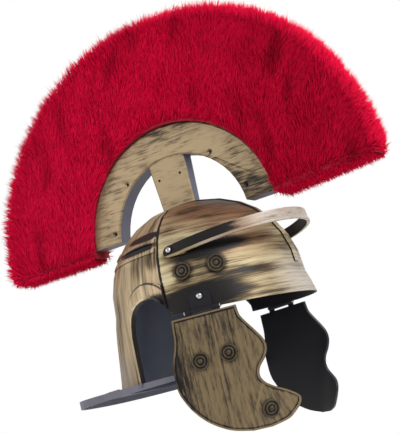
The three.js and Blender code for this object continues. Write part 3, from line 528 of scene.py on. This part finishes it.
def finish_of(face):
    """Whether a face is painted, bare inside, the bare rim of the neck guard, or a dark groove."""
    at, facing = face.calc_center_median(), face.normal
    inward = facing.dot(at - HEAD_MIDDLE) < 0 and facing.dot(Vector((at.x, at.y, 0))) < 0.02
    if at.z < NECK_Z:  # the ribs on the neck guard look inwards too, but they are painted
        inward = inward and in_neck_hole(at)
    beside_ear = abs(at.x) > 0.070 and at.y < 0.060
    out_of_bowl = Vector((at.x, at.y, max(at.z + DOME_MIDDLE * MM, 0))).normalized()
    if at.z > (EAR_FOOT_Z if beside_ear else NECK_Z) and abs(facing.dot(out_of_bowl)) < WALL_FACING:
        return GROOVE
    if at.z > PLATE_Z or inward:
        return INSIDE if inward else OUTSIDE
    if abs(facing.z) < EDGE_FACING:
        return RIM if at_plate_edge(at) else OUTSIDE
    return INSIDE if facing.z < 0 else OUTSIDE


def dress_shell(node, outside, inside):
    bm = copy_of(node)
    for face in bm.faces:
        face.material_index = finish_of(face)
    materials = [outside, inside, rim_sheen_moulding, groove_moulding]
    finish_piece(node + "_moulding", bm, materials, "helmet", [node], bevel=0.35)


dress_shell("front_shell", bowl_paint, black_moulding)
dress_shell("rear_shell", rear_paint, lit_inside_moulding)

# %% [markdown]
# ## The crest holder and the brow guard
# The arch is gold on its two faces and bare on the narrow sides that the brush passed over, where the black
# plastic is drawn blue-grey as painted sheen. The brow guard is one bent band with a dark strip along each
# side. Both could be modelled again, but the CAD solids already have these shapes, so a merged copy with a
# fine bevel is enough.

# %% Crest holder
bm = copy_of("crest_arch")
for face in bm.faces:
    face.material_index = 0 if abs(face.normal.x) > 0.4 else 1
holder_finishes = [arch_paint, holder_sheen_moulding]
finish_piece("crest_holder", bm, holder_finishes, "helmet", ["crest_arch"], bevel=0.5)

# %% Brow guard
BROW_Y, BROW_Z, BROW_SLOPE = -23, -54, 0.1016  # the band's middle at its rear end, and its rise


def side_strip(tree, x, y, z):
    """The dark strip on each side of the band, over its paler lower edge."""
    along = sum_of(tree, "MULTIPLY_ADD", sum_of(tree, "SUBTRACT", y, BROW_Y * MM), BROW_SLOPE, -BROW_Z * MM)
    over = ramp_of(tree, sum_of(tree, "ADD", z, along), -3.6 * MM, -2.9 * MM)
    behind = ramp_of(tree, y, -108 * MM, -58 * MM)
    return sum_of(tree, "MULTIPLY", sum_of(tree, "MULTIPLY", over, behind), 1.9)


brow_paint = painted(
    "brow_gold", colour(212, 202, 190), colour(164, 148, 130), (60, 12, 260), 0.36, mask=side_strip,
    tints=[
        ((100, -20, -54), (60, 60, 40), 0.9, colour(150, 130, 92)),
        ((85, -92, -48), (50, 46, 30), 0.85, colour(148, 120, 96)),
    ],
)
bm = copy_of("brow_guard")
for face in bm.faces:
    at = face.calc_center_median()
    inward = face.normal.dot(Vector((at.x, at.y - BROW_Y * MM, 0)).normalized()) < -0.3
    face.material_index = 1 if inward else 0
finish_piece("brow_band", bm, [brow_paint, black_moulding], "helmet", ["brow_guard"], bevel=0.35)

# %% [markdown]
# ## Rosettes, rivets and hinges
# Rosettes and rivets are turned shapes, so each is a profile spun round its axis: rings and grooves for a
# rosette, a dome for a rivet. Insets on a disc would do too, but one profile is easier to change. Where a
# node stands, and which way it faces, is read from the CAD node itself. The hinge leaves and pins are
# merged copies.

# %% Spin a profile and stand it on its place
def stand_of(node):
    """The foot, the facing direction and the radius of a small round node."""
    spots = np.array([v.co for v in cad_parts[node].data.vertices])
    spots = np.unique(spots.round(7), axis=0)
    middle = spots.mean(0)
    facing = np.linalg.svd(spots - middle)[2][2]
    facing = facing * np.sign(facing[0] * middle[0])
    along = (spots - middle) @ facing
    across = np.linalg.norm(spots - middle - np.outer(along, facing), axis=1)
    return Vector(middle + facing * along.min()), Vector(facing), across.max()


def spun(node, profile, material, body, steps=40):
    foot, facing, radius = stand_of(node)
    bm = bmesh.new()
    previous = None
    for share, height in profile:
        vertex = bm.verts.new((share * radius, 0, height * MM))
        if previous:
            bm.edges.new((previous, vertex))
        previous = vertex
    bmesh.ops.spin(bm, geom=bm.verts[:] + bm.edges[:], cent=(0, 0, 0), axis=(0, 0, 1), angle=2 * math.pi,
                   steps=steps, use_merge=True)
    bmesh.ops.remove_doubles(bm, verts=bm.verts, dist=0.002 * MM)
    bmesh.ops.recalc_face_normals(bm, faces=bm.faces)
    turned = Vector((0, 0, 1)).rotation_difference(facing).to_matrix().to_4x4()
    bmesh.ops.transform(bm, matrix=Matrix.Translation(foot) @ turned, verts=bm.verts)
    return finish_piece(node + "_turned", bm, [material], body, [node], bevel=0, sharp=50)


# shares of the radius, and heights in mm: rim, groove, ring, groove and button
ROSETTE = [(0, 0), (1, 0), (1, 1.3), (0.96, 1.8), (0.87, 2.0), (0.8, 1.7), (0.76, 0.9), (0.68, 0.9),
           (0.63, 1.9), (0.55, 2.4), (0.46, 2.3), (0.4, 1.6), (0.33, 1.5), (0.28, 2.5), (0.18, 3.2), (0, 3.6)]
DOME = [(0, 0), (1, 0), (1, 0.5), (0.93, 1.0), (0.75, 1.5), (0.48, 1.9), (0.2, 2.08), (0, 2.1)]
for side in ("left", "right"):
    for place in ("rear", "front"):
        spun(f"bowl_rosette_{side}_{place}", ROSETTE, boss_paint, "helmet")
    for place in ("upper_rear", "upper_front", "chin"):
        spun(f"cheek_rosette_{side}_{place}", ROSETTE, boss_paint, "cheek_" + side)
    spun(f"brow_rivet_{side}", DOME, steel, "helmet", 24)
    spun(f"hinge_rivet_{side}", DOME, steel, "helmet", 24)

# %% Hinges
for side in ("left", "right"):
    for node, ending, material, slot, bevel in (
        ("hinge_leaf_" + side, "_moulding", black_moulding, "hinge_black", 0.2),
        ("hinge_pin_" + side, "_steel", steel, "rivet_steel", 0),
    ):
        finish_piece(node + ending, copy_of(node), [material], "helmet", [node], bevel=bevel)

# %% [markdown]
# ## Cheek guards
# A plate with a wavy outline, a raised border and a chin end that curves to the face. The outline is drawn
# flat, made solid, inset for the border and sunk inside it. Then planes cut across it so that the chin end
# can bend.

# %% The guard's outline
GUARD = [  # share of the drop, rear edge and front edge as shares of the top's width
    (0.0, 0.0, 1.0), (0.085, -0.01, 1.02), (0.16, -0.02, 1.1), (0.24, -0.055, 1.2), (0.32, -0.11, 1.285),
    (0.39, -0.135, 1.3), (0.46, -0.14, 1.24), (0.53, -0.14, 1.13), (0.595, -0.12, 1.1), (0.65, -0.075, 1.15),
    (0.7, -0.03, 1.27), (0.75, 0.03, 1.43), (0.81, 0.12, 1.55), (0.87, 0.24, 1.52), (0.93, 0.41, 1.41),
    (0.97, 0.58, 1.3), (1.0, 0.82, 1.08),
]
WIDTH, DROP, TOP, FROM_REAR, WALL = 64, 118, 4, 31.5, 2.5
ROWS, FIRST_ROW, STEP = 240, 13, 2.2  # no short edge beside a corner, or the insets would cross
BORDER, SLOPE, CORNER_FADE, SUNK = 1.5, 0.6, 1.6, 1.0  # widths from the edge inwards, and the border's height


def edge_at(share, column):
    i = 0
    while i + 2 < len(GUARD) and share > GUARD[i + 1][0]:
        i += 1
    before, a, b, after = GUARD[max(i - 1, 0)], GUARD[i], GUARD[i + 1], GUARD[min(i + 2, len(GUARD) - 1)]
    span = b[0] - a[0]
    t = (share - a[0]) / span
    slope_a = (b[column] - before[column]) / (b[0] - before[0])
    slope_b = (after[column] - a[column]) / (after[0] - a[0])
    return (a[column] * (1 + 2 * t) * (1 - t) ** 2 + b[column] * t * t * (3 - 2 * t)
            + slope_a * span * t * (1 - t) ** 2 - slope_b * span * t * t * (1 - t))


def evenly(points, step):
    """The points of a line that lie a step apart, so that no edge is too short to inset."""
    kept = [points[0]]
    for point in points[1:]:
        if math.dist(point, kept[-1]) >= step:
            kept.append(point)
    return kept


def guard_mesh():
    bm = bmesh.new()
    shares = [0] + [i / ROWS for i in range(FIRST_ROW, ROWS + 1)]
    rear = [(FROM_REAR - WIDTH * edge_at(s, 1), -TOP - DROP * s) for s in shares]
    front = [(FROM_REAR - WIDTH * edge_at(s, 2), -TOP - DROP * s) for s in reversed(shares)]
    outline = [bm.verts.new((-WALL / 2 * MM, y * MM, z * MM)) for y, z in evenly(rear + front, STEP)]
    wall = bmesh.ops.extrude_face_region(bm, geom=[bm.faces.new(outline)])
    plate = next(f for f in wall["geom"] if isinstance(f, bmesh.types.BMFace))
    bmesh.ops.translate(bm, vec=((WALL + SUNK) * MM, 0, 0), verts=plate.verts[:])
    bmesh.ops.recalc_face_normals(bm, faces=bm.faces)
    rim = bm.verts.layers.float_color.new("rim")
    top, corner, field = (1, 0, 0, 1), (0, 1, 0, 1), (0, 0, 0, 1)
    for vertex in plate.verts:
        vertex[rim] = top
    for width, depth, mark in ((BORDER, 0, top), (SLOPE, -SUNK, corner), (CORNER_FADE, 0, field)):
        bmesh.ops.inset_region(bm, faces=[plate], thickness=width * MM, depth=depth * MM,
                               use_even_offset=True)
        for vertex in plate.verts:
            vertex[rim] = mark
    return bm


CHIN_ACROSS = Vector((0, -0.887, -0.461))  # from the notch in the front edge towards the chin
CHIN_NOTCH = Vector((0, FROM_REAR - 1.1 * WIDTH, -TOP - 0.57 * DROP)) * MM
CHIN_START, CHIN_REACH, CHIN_DEPTH = 12, 47, 25
LAST_CUT, CUT_STEP = 64, 4


def bend_chin(bm):
    """Cuts the chin end across, and curves it in to the face like a bent strip."""
    for cut in range(0, LAST_CUT, CUT_STEP):
        place = CHIN_NOTCH + CHIN_ACROSS * (cut - CHIN_START) * MM
        everything = bm.verts[:] + bm.edges[:] + bm.faces[:]
        bmesh.ops.bisect_plane(bm, geom=everything, plane_co=place, plane_no=CHIN_ACROSS)
    for vertex in bm.verts:
        over = (vertex.co - CHIN_NOTCH).dot(CHIN_ACROSS) / MM + CHIN_START
        vertex.co.x -= CHIN_DEPTH * MM * (max(over, 0) / CHIN_REACH) ** 2


KNUCKLE_AT, KNUCKLE_RADIUS, KNUCKLE_LENGTH = 14.05, 2.2, 6
TAB_HEIGHT, TAB_Z = 5, -2.6  # the tab that joins a knuckle to the plate


def add_knuckles(bm):
    for y in (-KNUCKLE_AT, KNUCKLE_AT):
        turned = Matrix.Translation((0, y * MM, 0)) @ Matrix.Rotation(math.pi / 2, 4, "X")
        bmesh.ops.create_cone(bm, cap_ends=True, segments=20, radius1=KNUCKLE_RADIUS * MM,
                              radius2=KNUCKLE_RADIUS * MM, depth=KNUCKLE_LENGTH * MM, matrix=turned)
        size = Matrix.Diagonal((WALL * MM, KNUCKLE_LENGTH * MM, TAB_HEIGHT * MM, 1))
        bmesh.ops.create_cube(bm, size=1, matrix=Matrix.Translation((0, y * MM, TAB_Z * MM)) @ size)

# %% [markdown]
# ## Painting and hanging a guard
# The guard is modelled flat at the origin, and one matrix turns it and moves it to its hinge. The right
# guard is the left one mirrored, with its faces reversed, because a mirror turns them inside out.

# %% The guard's finish, hung on its hinge
def border_paint(tree, x, y, z):
    """Less paint in the corner inside the border, and more on top of it."""
    border, corner, _ = attribute_parts(tree, "rim")
    return sum_of(tree, "MULTIPLY_ADD", border, -0.3, sum_of(tree, "MULTIPLY", corner, 0.8))


GUARD_BOSSES = [f"cheek_rosette_left_{place}" for place in ("upper_rear", "upper_front", "chin")]
bronze_paint = painted(
    "guard_bronze", BRONZE, DEEP_BRONZE, (60, 330, 58), 0.39, metal=0.5,
    missed_and_shade=[
        ((95, 10, -185), (70, 40, 80), 0.8),
        ((92, -60, -135), (60, 40, 24), 0.25),
        *round_bosses(0.3, *GUARD_BOSSES),
    ],
    mask=border_paint,
)
HINGE = (0.0898089, -0.0407506, -0.118)  # the middle of the left pin
TOE_IN, TUCKED = math.radians(-16.14), math.radians(-2.04)  # turned with the bowl, and in to the cheek
OUTWARD_FACING = 0.35  # the least that a painted face looks outwards


def hang(side):
    bm = guard_mesh()
    bend_chin(bm)
    add_knuckles(bm)
    for face in bm.faces:
        knuckle = face.calc_center_median().z > (0.5 - TOP) * MM
        face.material_index = 0 if face.normal.x > OUTWARD_FACING and not knuckle else 1
    turned = Matrix.Rotation(TOE_IN, 4, "Z") @ Matrix.Rotation(TUCKED, 4, "Y")
    bmesh.ops.transform(bm, matrix=Matrix.Translation(HINGE) @ turned, verts=bm.verts)
    if side == "right":
        bmesh.ops.scale(bm, vec=(-1, 1, 1), verts=bm.verts)
        bmesh.ops.reverse_faces(bm, faces=bm.faces)
    node, body, finishes = "cheek_guard_" + side, "cheek_" + side, [bronze_paint, black_moulding]
    piece = finish_piece("cheek_plate_" + side, bm, finishes, body, [node], bevel=0.3)
    low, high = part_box(node)
    spots = np.array([v.co for v in piece.data.vertices])
    off = [((spots.min(0) - low) / MM).round(1), ((spots.max(0) - high) / MM).round(1)]
    print(side, "guard off its node by mm", *off)


for side in ("left", "right"):
    hang(side)

# %% [markdown]
# ## The plume
# Plush is a backing with pile standing on it. The backing is a half ring of foam, rounded at its edges. The
# pile is thousands of strands, each a thin taper: rooted on the backing, leaning with the nap, and drawn
# together in tufts at the tips, because that is what makes the dark partings in real fur. The coat has bent
# strands of ten faces, and the shorter underfur has straight ones of four.

# %% The foam backing
ARCH_AT, ARCH_R = (0.0, -22.0), 112.0
PLUME_AT, CORE_R = (-1.5, -24.5), 222.5
CORE_HALF, CORE_ROUND, FRONT_Z, REAR_Z, FRONT_RISE = 15.0, 6.0, -17.5, -22.5, 0.06


def swell(turn):
    """How far the rim stands out above the brow."""
    return 6.5 * np.exp(-(((turn + 0.75) / 0.45) ** 2))


def floor_at(y):
    """The height of the plume's flat end: the front one rises towards its tip."""
    return np.where(y < 0, FRONT_Z + (-y - ARCH_R) * FRONT_RISE, REAR_Z)


def arc(centre, radius, front_z, rear_z, count):
    front = math.acos((front_z - centre[1]) / radius)
    rear = math.acos((rear_z - centre[1]) / radius)
    turns = [(front + rear) * i / count - front for i in range(count + 1)]
    out = [radius + (swell(t) if centre == PLUME_AT else 0) for t in turns]
    return [(centre[0] + r * math.sin(t), centre[1] + r * math.cos(t)) for r, t in zip(out, turns)]


def on_outer_rim(edge):
    """Whether an edge is a corner that runs along the outside of the half ring."""
    a, b = (vertex.co for vertex in edge.verts)
    away = math.hypot(a.y / MM - PLUME_AT[0], a.z / MM - PLUME_AT[1])
    return edge.calc_face_angle(0) > 1.2 and abs(a.x - b.x) < 1e-6 and away > CORE_R - 2


def foam_backing():
    bm = bmesh.new()
    tip = float(floor_at(PLUME_AT[0] - CORE_R))
    outside = arc(PLUME_AT, CORE_R, tip, REAR_Z, 72)
    inside = arc(ARCH_AT, ARCH_R + 0.3, FRONT_Z, REAR_Z, 60)
    corners = [bm.verts.new((-CORE_HALF * MM, y * MM, z * MM)) for y, z in outside + inside[::-1]]
    wall = bmesh.ops.extrude_face_region(bm, geom=[bm.faces.new(corners)])
    far = [v for v in wall["geom"] if isinstance(v, bmesh.types.BMVert)]
    bmesh.ops.translate(bm, vec=(2 * CORE_HALF * MM, 0, 0), verts=far)
    bmesh.ops.recalc_face_normals(bm, faces=bm.faces)
    rim = [edge for edge in bm.edges if on_outer_rim(edge)]
    bmesh.ops.bevel(bm, geom=rim, offset=CORE_ROUND * MM, segments=4, affect="EDGES", profile=0.5,
                    material=-1)
    return bm

# %% [markdown]
# The fur's colour goes from a deep red at the root to a brighter one at the tip, and no two strands are
# quite alike. The deeper red at the root is painted shade down in the pile, paler pink strands on the rim,
# towards the back and under the ends are painted highlight and light, and the darker partings and front are
# painted shade. All come from an attribute that each strand carries, so the finish travels with the pile.

# %% The fur's finish
def fur_finish():
    made, tree, shader = new_material("red_fur", 0.62)
    height, pale_and_highlight, parting_shade = attribute_parts(tree, "pile")
    # Deeper red towards the root: painted shade down in the pile.
    body = blend_of(tree, height, colour(186, 0, 40), colour(230, 3, 58))
    # Paler pink: random for each strand, and a painted highlight on the rim and painted light towards the
    # back and under the ends.
    pale = sum_of(tree, "MULTIPLY", sum_of(tree, "POWER", pale_and_highlight, 3.0), 0.45)
    body = blend_of(tree, pale, body, colour(248, 26, 88))
    # The dark red of the partings and of the front is painted shade.
    tree.links.new(blend_of(tree, parting_shade, body, colour(146, 0, 32)), shader.inputs["Base Color"])
    shader.inputs["Specular IOR Level"].default_value = 0.06
    shader.inputs["Sheen Weight"].default_value = 0.08
    shader.inputs["Sheen Roughness"].default_value = 0.4
    shader.inputs["Sheen Tint"].default_value = colour(255, 30, 70)
    return made


def backing_finish():
    made, tree, shader = new_material("plush_backing", 0.9)
    knit = noise_of(tree, object_place(tree), 420.0, 3.0)
    tree.links.new(blend_of(tree, knit, colour(120, 0, 24), colour(170, 2, 40)), shader.inputs["Base Color"])
    raise_surface(tree, shader, knit, 0.5, 0.001)
    return made


red_fur = fur_finish()
foam, finishes = foam_backing(), [backing_finish()]
backing = finish_piece("plume_backing", foam, finishes, "helmet", ["crest_plume"], bevel=0)

# %% [markdown]
# ## One strand, many times
# bmesh makes a strand, a three-sided cone, with a cut at its middle where it has to bend. numpy then
# carries its few points to every root, along a bent path, which is far quicker than adding the strands one
# by one.

# %% The strand and its copies
def strand(bent):
    """The points and faces of a slim cone, with a cut at its middle if it has to bend."""
    bm = bmesh.new()
    bmesh.ops.create_cone(bm, cap_ends=True, segments=3, radius1=1, radius2=0.02, depth=1,
                          matrix=Matrix.Translation((0, 0, 0.5)))
    bmesh.ops.remove_doubles(bm, verts=bm.verts, dist=0.05)
    if bent:
        everything = bm.verts[:] + bm.edges[:] + bm.faces[:]
        bmesh.ops.bisect_plane(bm, geom=everything, plane_co=(0, 0, 0.5), plane_no=(0, 0, 1))
    bmesh.ops.triangulate(bm, faces=bm.faces)
    bm.verts.index_update()
    points = np.array([v.co for v in bm.verts])
    faces = np.array([[v.index for v in f.verts] for f in bm.faces])
    bm.free()
    points[:, :2] *= np.where(points[:, 2:] > 0.1, 1.5, 1.0)  # full at the middle, then a fine tip
    print("a strand has", len(points), "points and", len(faces), "faces")
    return points, faces


BENT, STRAIGHT = strand(True), strand(False)


def unit(rows):
    return rows / np.linalg.norm(rows, axis=1, keepdims=True)


def plant(name, roots, starts, ends, lengths, widths, pale_and_highlight, parting_shade, shape=BENT):
    """A mesh of strands, from roots, first along starts and on towards ends. Lengths are in millimetres."""
    cone, cone_faces = shape
    count, points = len(roots), len(cone)
    t = cone[:, 2][None, :, None]
    reach = lengths[:, None, None]
    path = roots[:, None] + reach * (t * (1 - t) * starts[:, None] + t * t * ends[:, None])
    side = unit(np.cross(ends, np.array([0.31, 0.52, 0.79])))
    other = np.cross(unit(ends), side)
    round_it = cone[None, :, 0, None] * side[:, None] + cone[None, :, 1, None] * other[:, None]
    spots = (path + round_it * widths[:, None, None]) * MM
    mesh = bpy.data.meshes.new(name)
    faces = (cone_faces[None] + (np.arange(count) * points)[:, None, None]).reshape(-1, 3)
    mesh.vertices.add(count * points)
    mesh.vertices.foreach_set("co", spots.reshape(-1).astype(np.float32))
    mesh.loops.add(faces.size)
    mesh.loops.foreach_set("vertex_index", faces.reshape(-1).astype(np.int32))
    mesh.polygons.add(len(faces))
    mesh.polygons.foreach_set("loop_start", np.arange(0, faces.size, 3, dtype=np.int32))
    mesh.update(calc_edges=True)
    tint = np.ones((count, points, 4), np.float32)
    tint[:, :, 0] = cone[None, :, 2]
    tint[:, :, 1] = pale_and_highlight[:, None]
    tint[:, :, 2] = parting_shade[:, None]
    mesh.attributes.new("pile", "FLOAT_COLOR", "POINT").data.foreach_set("color", tint.reshape(-1))
    mesh.shade_smooth()
    mesh.materials.append(red_fur)
    piece = bpy.data.objects.new(name, mesh)
    bpy.context.collection.objects.link(piece)
    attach(piece, "helmet")
    print(name, count, "strands,", len(faces), "faces")

# %% [markdown]
# ## The nap
# The pile leans up and a little forwards all over the sides, and turns outwards at the rim. Slow waves and
# a turn of its own for each tuft break that up.

# %% Which way the pile leans
chances = np.random.default_rng(7)
NAP = np.array([0.0, -0.29, 0.957])


def tufts(roots, size):
    """The tuft of each root, with the tuft's middle and a number from -1 to 1 that its strands share."""
    cells = np.floor(roots / size + 0.45 * np.sin(roots[:, [1, 2, 0]] * 0.55 / size * 3)).astype(int)
    _, own = np.unique(cells, axis=0, return_inverse=True)
    own = own.reshape(-1)
    weight = np.bincount(own)
    middle = np.stack([np.bincount(own, roots[:, k]) / weight for k in range(3)], 1)
    return middle[own], chances.uniform(-1, 1, len(weight))[own], chances.uniform(-1, 1, len(weight))[own]


def waves(roots):
    y, z = roots[:, 1], roots[:, 2]
    return (0.20 * np.sin(0.062 * y + 0.045 * z + 0.9) + 0.16 * np.sin(0.11 * z - 0.07 * y + 2.2)
            + 0.12 * np.sin(0.19 * y + 0.13 * z + 4.0))


def turned_nap(lean, radial, outward):
    """The nap turned in the plane of the crest, drawn towards the rim by outward."""
    flat = NAP[None] * (1 - outward[:, None]) + radial * outward[:, None]
    cos, sin = np.cos(lean), np.sin(lean)
    y, z = flat[:, 1] * cos - flat[:, 2] * sin, flat[:, 1] * sin + flat[:, 2] * cos
    return unit(np.stack([np.zeros(len(y)), y, z], 1))


def radial_at(roots):
    away = roots - np.array([0.0, PLUME_AT[0], PLUME_AT[1]])
    away[:, 0] = 0
    return unit(away)


def near_edge(distance, strength):
    """How much an edge turns each strand, over a ragged few millimetres from it."""
    reach = chances.uniform(2, 9, len(distance))
    return strength * np.clip(1.1 - distance / reach, 0, 1)[:, None]


def slow_partings(y, z):
    """Broad dark waves that follow the nap, for the painted shade of the partings."""
    along, across = NAP[2] * z + NAP[1] * y, NAP[2] * y - NAP[1] * z
    bands = np.sin(0.067 * across + 1.5 * np.sin(0.031 * along + 0.6) + 0.9)
    breaks = np.sin(0.036 * along + 1.4 * np.sin(0.043 * across + 2.0))
    return bands * breaks + 0.35 * np.sin(0.23 * across + 1.6 * np.sin(0.05 * along))


HANG, LAP = 0.9, 0.42  # how far the pile hangs over the flat ends, and laps over the arch
SHORTER_AT_EDGE, SHORTER_AT_FRONT = 0.62, 0.3


def grow(name, roots, faces, length, spread, size=4.6, pull=0.14, lift=0.17, rim=0.0, width=0.48, shape=BENT):
    """Plants strands on roots whose backing faces along faces."""
    count = len(roots)
    y, z = roots[:, 1], roots[:, 2]
    middle, tuft_turn, tuft_tall = tufts(roots, size)
    radial = radial_at(roots)
    rise = np.linalg.norm(roots[:, 1:] - np.array(PLUME_AT), axis=1)
    outward = np.clip((rise - (CORE_R - 40)) / 60, 0, 0.5) + rim
    lean = waves(roots) + (0.16 if rim else 0.09) * tuft_turn + spread * chances.standard_normal(count)
    nap = turned_nap(lean, radial, np.clip(outward, 0, 0.9))
    hanging = near_edge(z - floor_at(y), HANG)
    lapping = near_edge(np.linalg.norm(roots[:, 1:] - np.array(ARCH_AT), axis=1) - ARCH_R, LAP)
    nap = unit(nap * (1 - lapping) - lapping * radial)
    down = np.stack([np.zeros(count), 0.25 * np.sign(y), np.full(count, -1.0)], 1)
    nap = unit(nap * (1 - hanging) + hanging * down)
    height = lift * (1 + 0.35 * chances.standard_normal(count))
    starts = unit(faces * 0.8 + nap * 0.6)
    ends = unit(nap + faces * height[:, None])
    tall = length * (1 + 0.12 * tuft_tall + 0.16 * chances.standard_normal(count))
    tall = tall * (1 - SHORTER_AT_EDGE * np.maximum(hanging, lapping)[:, 0])
    if rim:
        tall = tall * (1 - SHORTER_AT_FRONT * np.clip(-radial[:, 1] - 0.35, 0, 0.65) / 0.65)
    tips = ends + pull * (middle - roots) / tall[:, None]
    # Painted shade: dark partings along the nap and between tufts, fewer on the rim, and more towards the
    # front.
    shade = slow_partings(y, z) + 0.25 * tuft_tall
    between_tufts = 0.3 * np.clip(0.2 - tuft_tall, 0, 1) * chances.uniform(0, 1, count)
    parting_shade = np.clip(0.8 * np.clip(shade - 0.55, 0, 0.7) + between_tufts, 0, 1) * (0.2 if rim else 1.0)
    parting_shade = np.clip(parting_shade + (0 if rim else 0.5) * np.clip((-y - 30) / 150, 0, 0.8), 0, 1)
    # Random paleness, with a painted highlight on the rim strands and painted light towards the back.
    light = chances.uniform(0.6 if rim else 0, 1, count) + 0.5 * np.clip((y - 20) / 150, 0, 1)
    widths = width * (1 + 0.2 * chances.standard_normal(count))
    plant(name, roots, starts, tips, tall, widths, np.clip(light, 0, 1), parting_shade, shape)

# %% [markdown]
# ## Planting the pile
# Roots are random points, kept where the backing is. A long coat covers the sides and a shorter underfur
# fills in between its strands. The rim and the flat ends get strands of their own, because the pile turns
# there.

# %% The pile on both sides
def side_roots(count, side, part):
    y, z = chances.uniform(-232, 226, count * 5), chances.uniform(-25, 206, count * 5)
    away = np.hypot(y - PLUME_AT[0], z - PLUME_AT[1])
    inner = np.hypot(y - ARCH_AT[0], z - ARCH_AT[1])
    floor = floor_at(y)
    turn = np.arctan2(y - PLUME_AT[0], z - PLUME_AT[1])
    on_ring = (away < CORE_R - 4 + swell(turn)) & (inner > ARCH_R + 0.5) & (z > floor + 0.5)
    keep = on_ring & (turn > part[0]) & (turn < part[1])
    y, z = y[keep][:count], z[keep][:count]
    return np.stack([np.full(len(y), side * (CORE_HALF - 0.5)), y, z], 1)


PARTS = {"front": (-2.2, 0.0), "rear": (0.0, 2.2)}
COATS = (("fur", 11500, 14.0, 0.17, BENT), ("underfur", 17500, 11.5, 0.27, STRAIGHT))
for side, word in ((1, "left"), (-1, "right")):
    for part, turns in PARTS.items():
        for coat, count, length, lift, shape in COATS:
            roots = side_roots(count, side, turns)
            faces = np.tile([float(side), 0.0, 0.0], (len(roots), 1))
            grow(f"{coat}_{word}_{part}", roots, faces, length, 0.1, lift=lift, shape=shape)

# %% The pile round the rim
def rim_roots(count):
    front = math.acos((float(floor_at(PLUME_AT[0] - CORE_R)) - PLUME_AT[1]) / CORE_R)
    rear = math.acos((REAR_Z - PLUME_AT[1]) / CORE_R)
    turns = chances.uniform(-front, rear, count)
    across = chances.uniform(-1, 1, count)
    corner = np.clip((abs(across) - 0.5) / 0.5, 0, 1) * math.pi / 2
    flat = CORE_HALF - CORE_ROUND
    on_corner = flat + CORE_ROUND * np.sin(corner)
    x = np.sign(across) * np.where(abs(across) < 0.5, abs(across) * 2 * flat, on_corner)
    radius = CORE_R + swell(turns) - CORE_ROUND + CORE_ROUND * np.cos(corner) - 0.8
    radial = np.stack([np.zeros(count), np.sin(turns), np.cos(turns)], 1)
    roots = radial * radius[:, None] + np.array([0.0, *PLUME_AT])
    roots[:, 0] = x
    faces = radial * np.cos(corner)[:, None]
    faces[:, 0] = np.sign(across) * np.sin(corner)
    return roots, unit(faces + np.stack([x / 60, x * 0, x * 0], 1))


roots, faces = rim_roots(17000)
grow("fur_rim", roots, faces, 14.5, 0.16, size=6.0, pull=0.4, lift=0.6, rim=0.15)

# %% The pile under both ends
def end_roots(count, sign):
    y = sign * chances.uniform(ARCH_R + 3, CORE_R - 2, count)
    x = chances.uniform(-CORE_HALF, CORE_HALF, count)
    return np.stack([x, y, floor_at(y) + 0.5], 1)


END_STRANDS, END_LENGTH, END_WIDTH = 2300, 6.5, 0.45
for sign, part in ((-1, "front"), (1, "rear")):
    roots = end_roots(END_STRANDS, sign)
    count = len(roots)
    down = unit(np.stack([roots[:, 0] / 22, np.full(count, sign * 0.25), np.full(count, -1.0)], 1))
    wild = unit(down + 0.25 * chances.standard_normal(down.shape))
    lengths = END_LENGTH * (1 + 0.2 * chances.standard_normal(count))
    # The strands under the ends are drawn pale as painted light, where they hang in shade.
    light, parting_shade = chances.uniform(0.4, 1, count), chances.uniform(0, 0.1, count)
    plant("fur_end_" + part, roots, down, wild, lengths, np.full(count, END_WIDTH), light, parting_shade)

# %% [markdown]
# ## Floor
# The helmet is worn, not stood, so the floor is well below it and out of the camera's view. It only catches
# a faint shadow in other views.

# %% Floor and its finish
FLOOR_Z = -0.62
bm = bmesh.new()
below = Matrix.Translation((0, 0, FLOOR_Z))
bmesh.ops.create_circle(bm, cap_ends=True, segments=96, radius=3.0, matrix=below)
mesh = bpy.data.meshes.new("pale_floor")
bm.to_mesh(mesh)
bm.free()
floor = bpy.data.objects.new("pale_floor", mesh)
bpy.context.collection.objects.link(floor)
pale, tree, shader = new_material("pale_floor", 0.9)
grain = noise_of(tree, object_place(tree), 3.0)
tree.links.new(blend_of(tree, grain, (0.86, 0.86, 0.86, 1), (0.9, 0.9, 0.9, 1)), shader.inputs["Base Color"])
mesh.materials.append(pale)
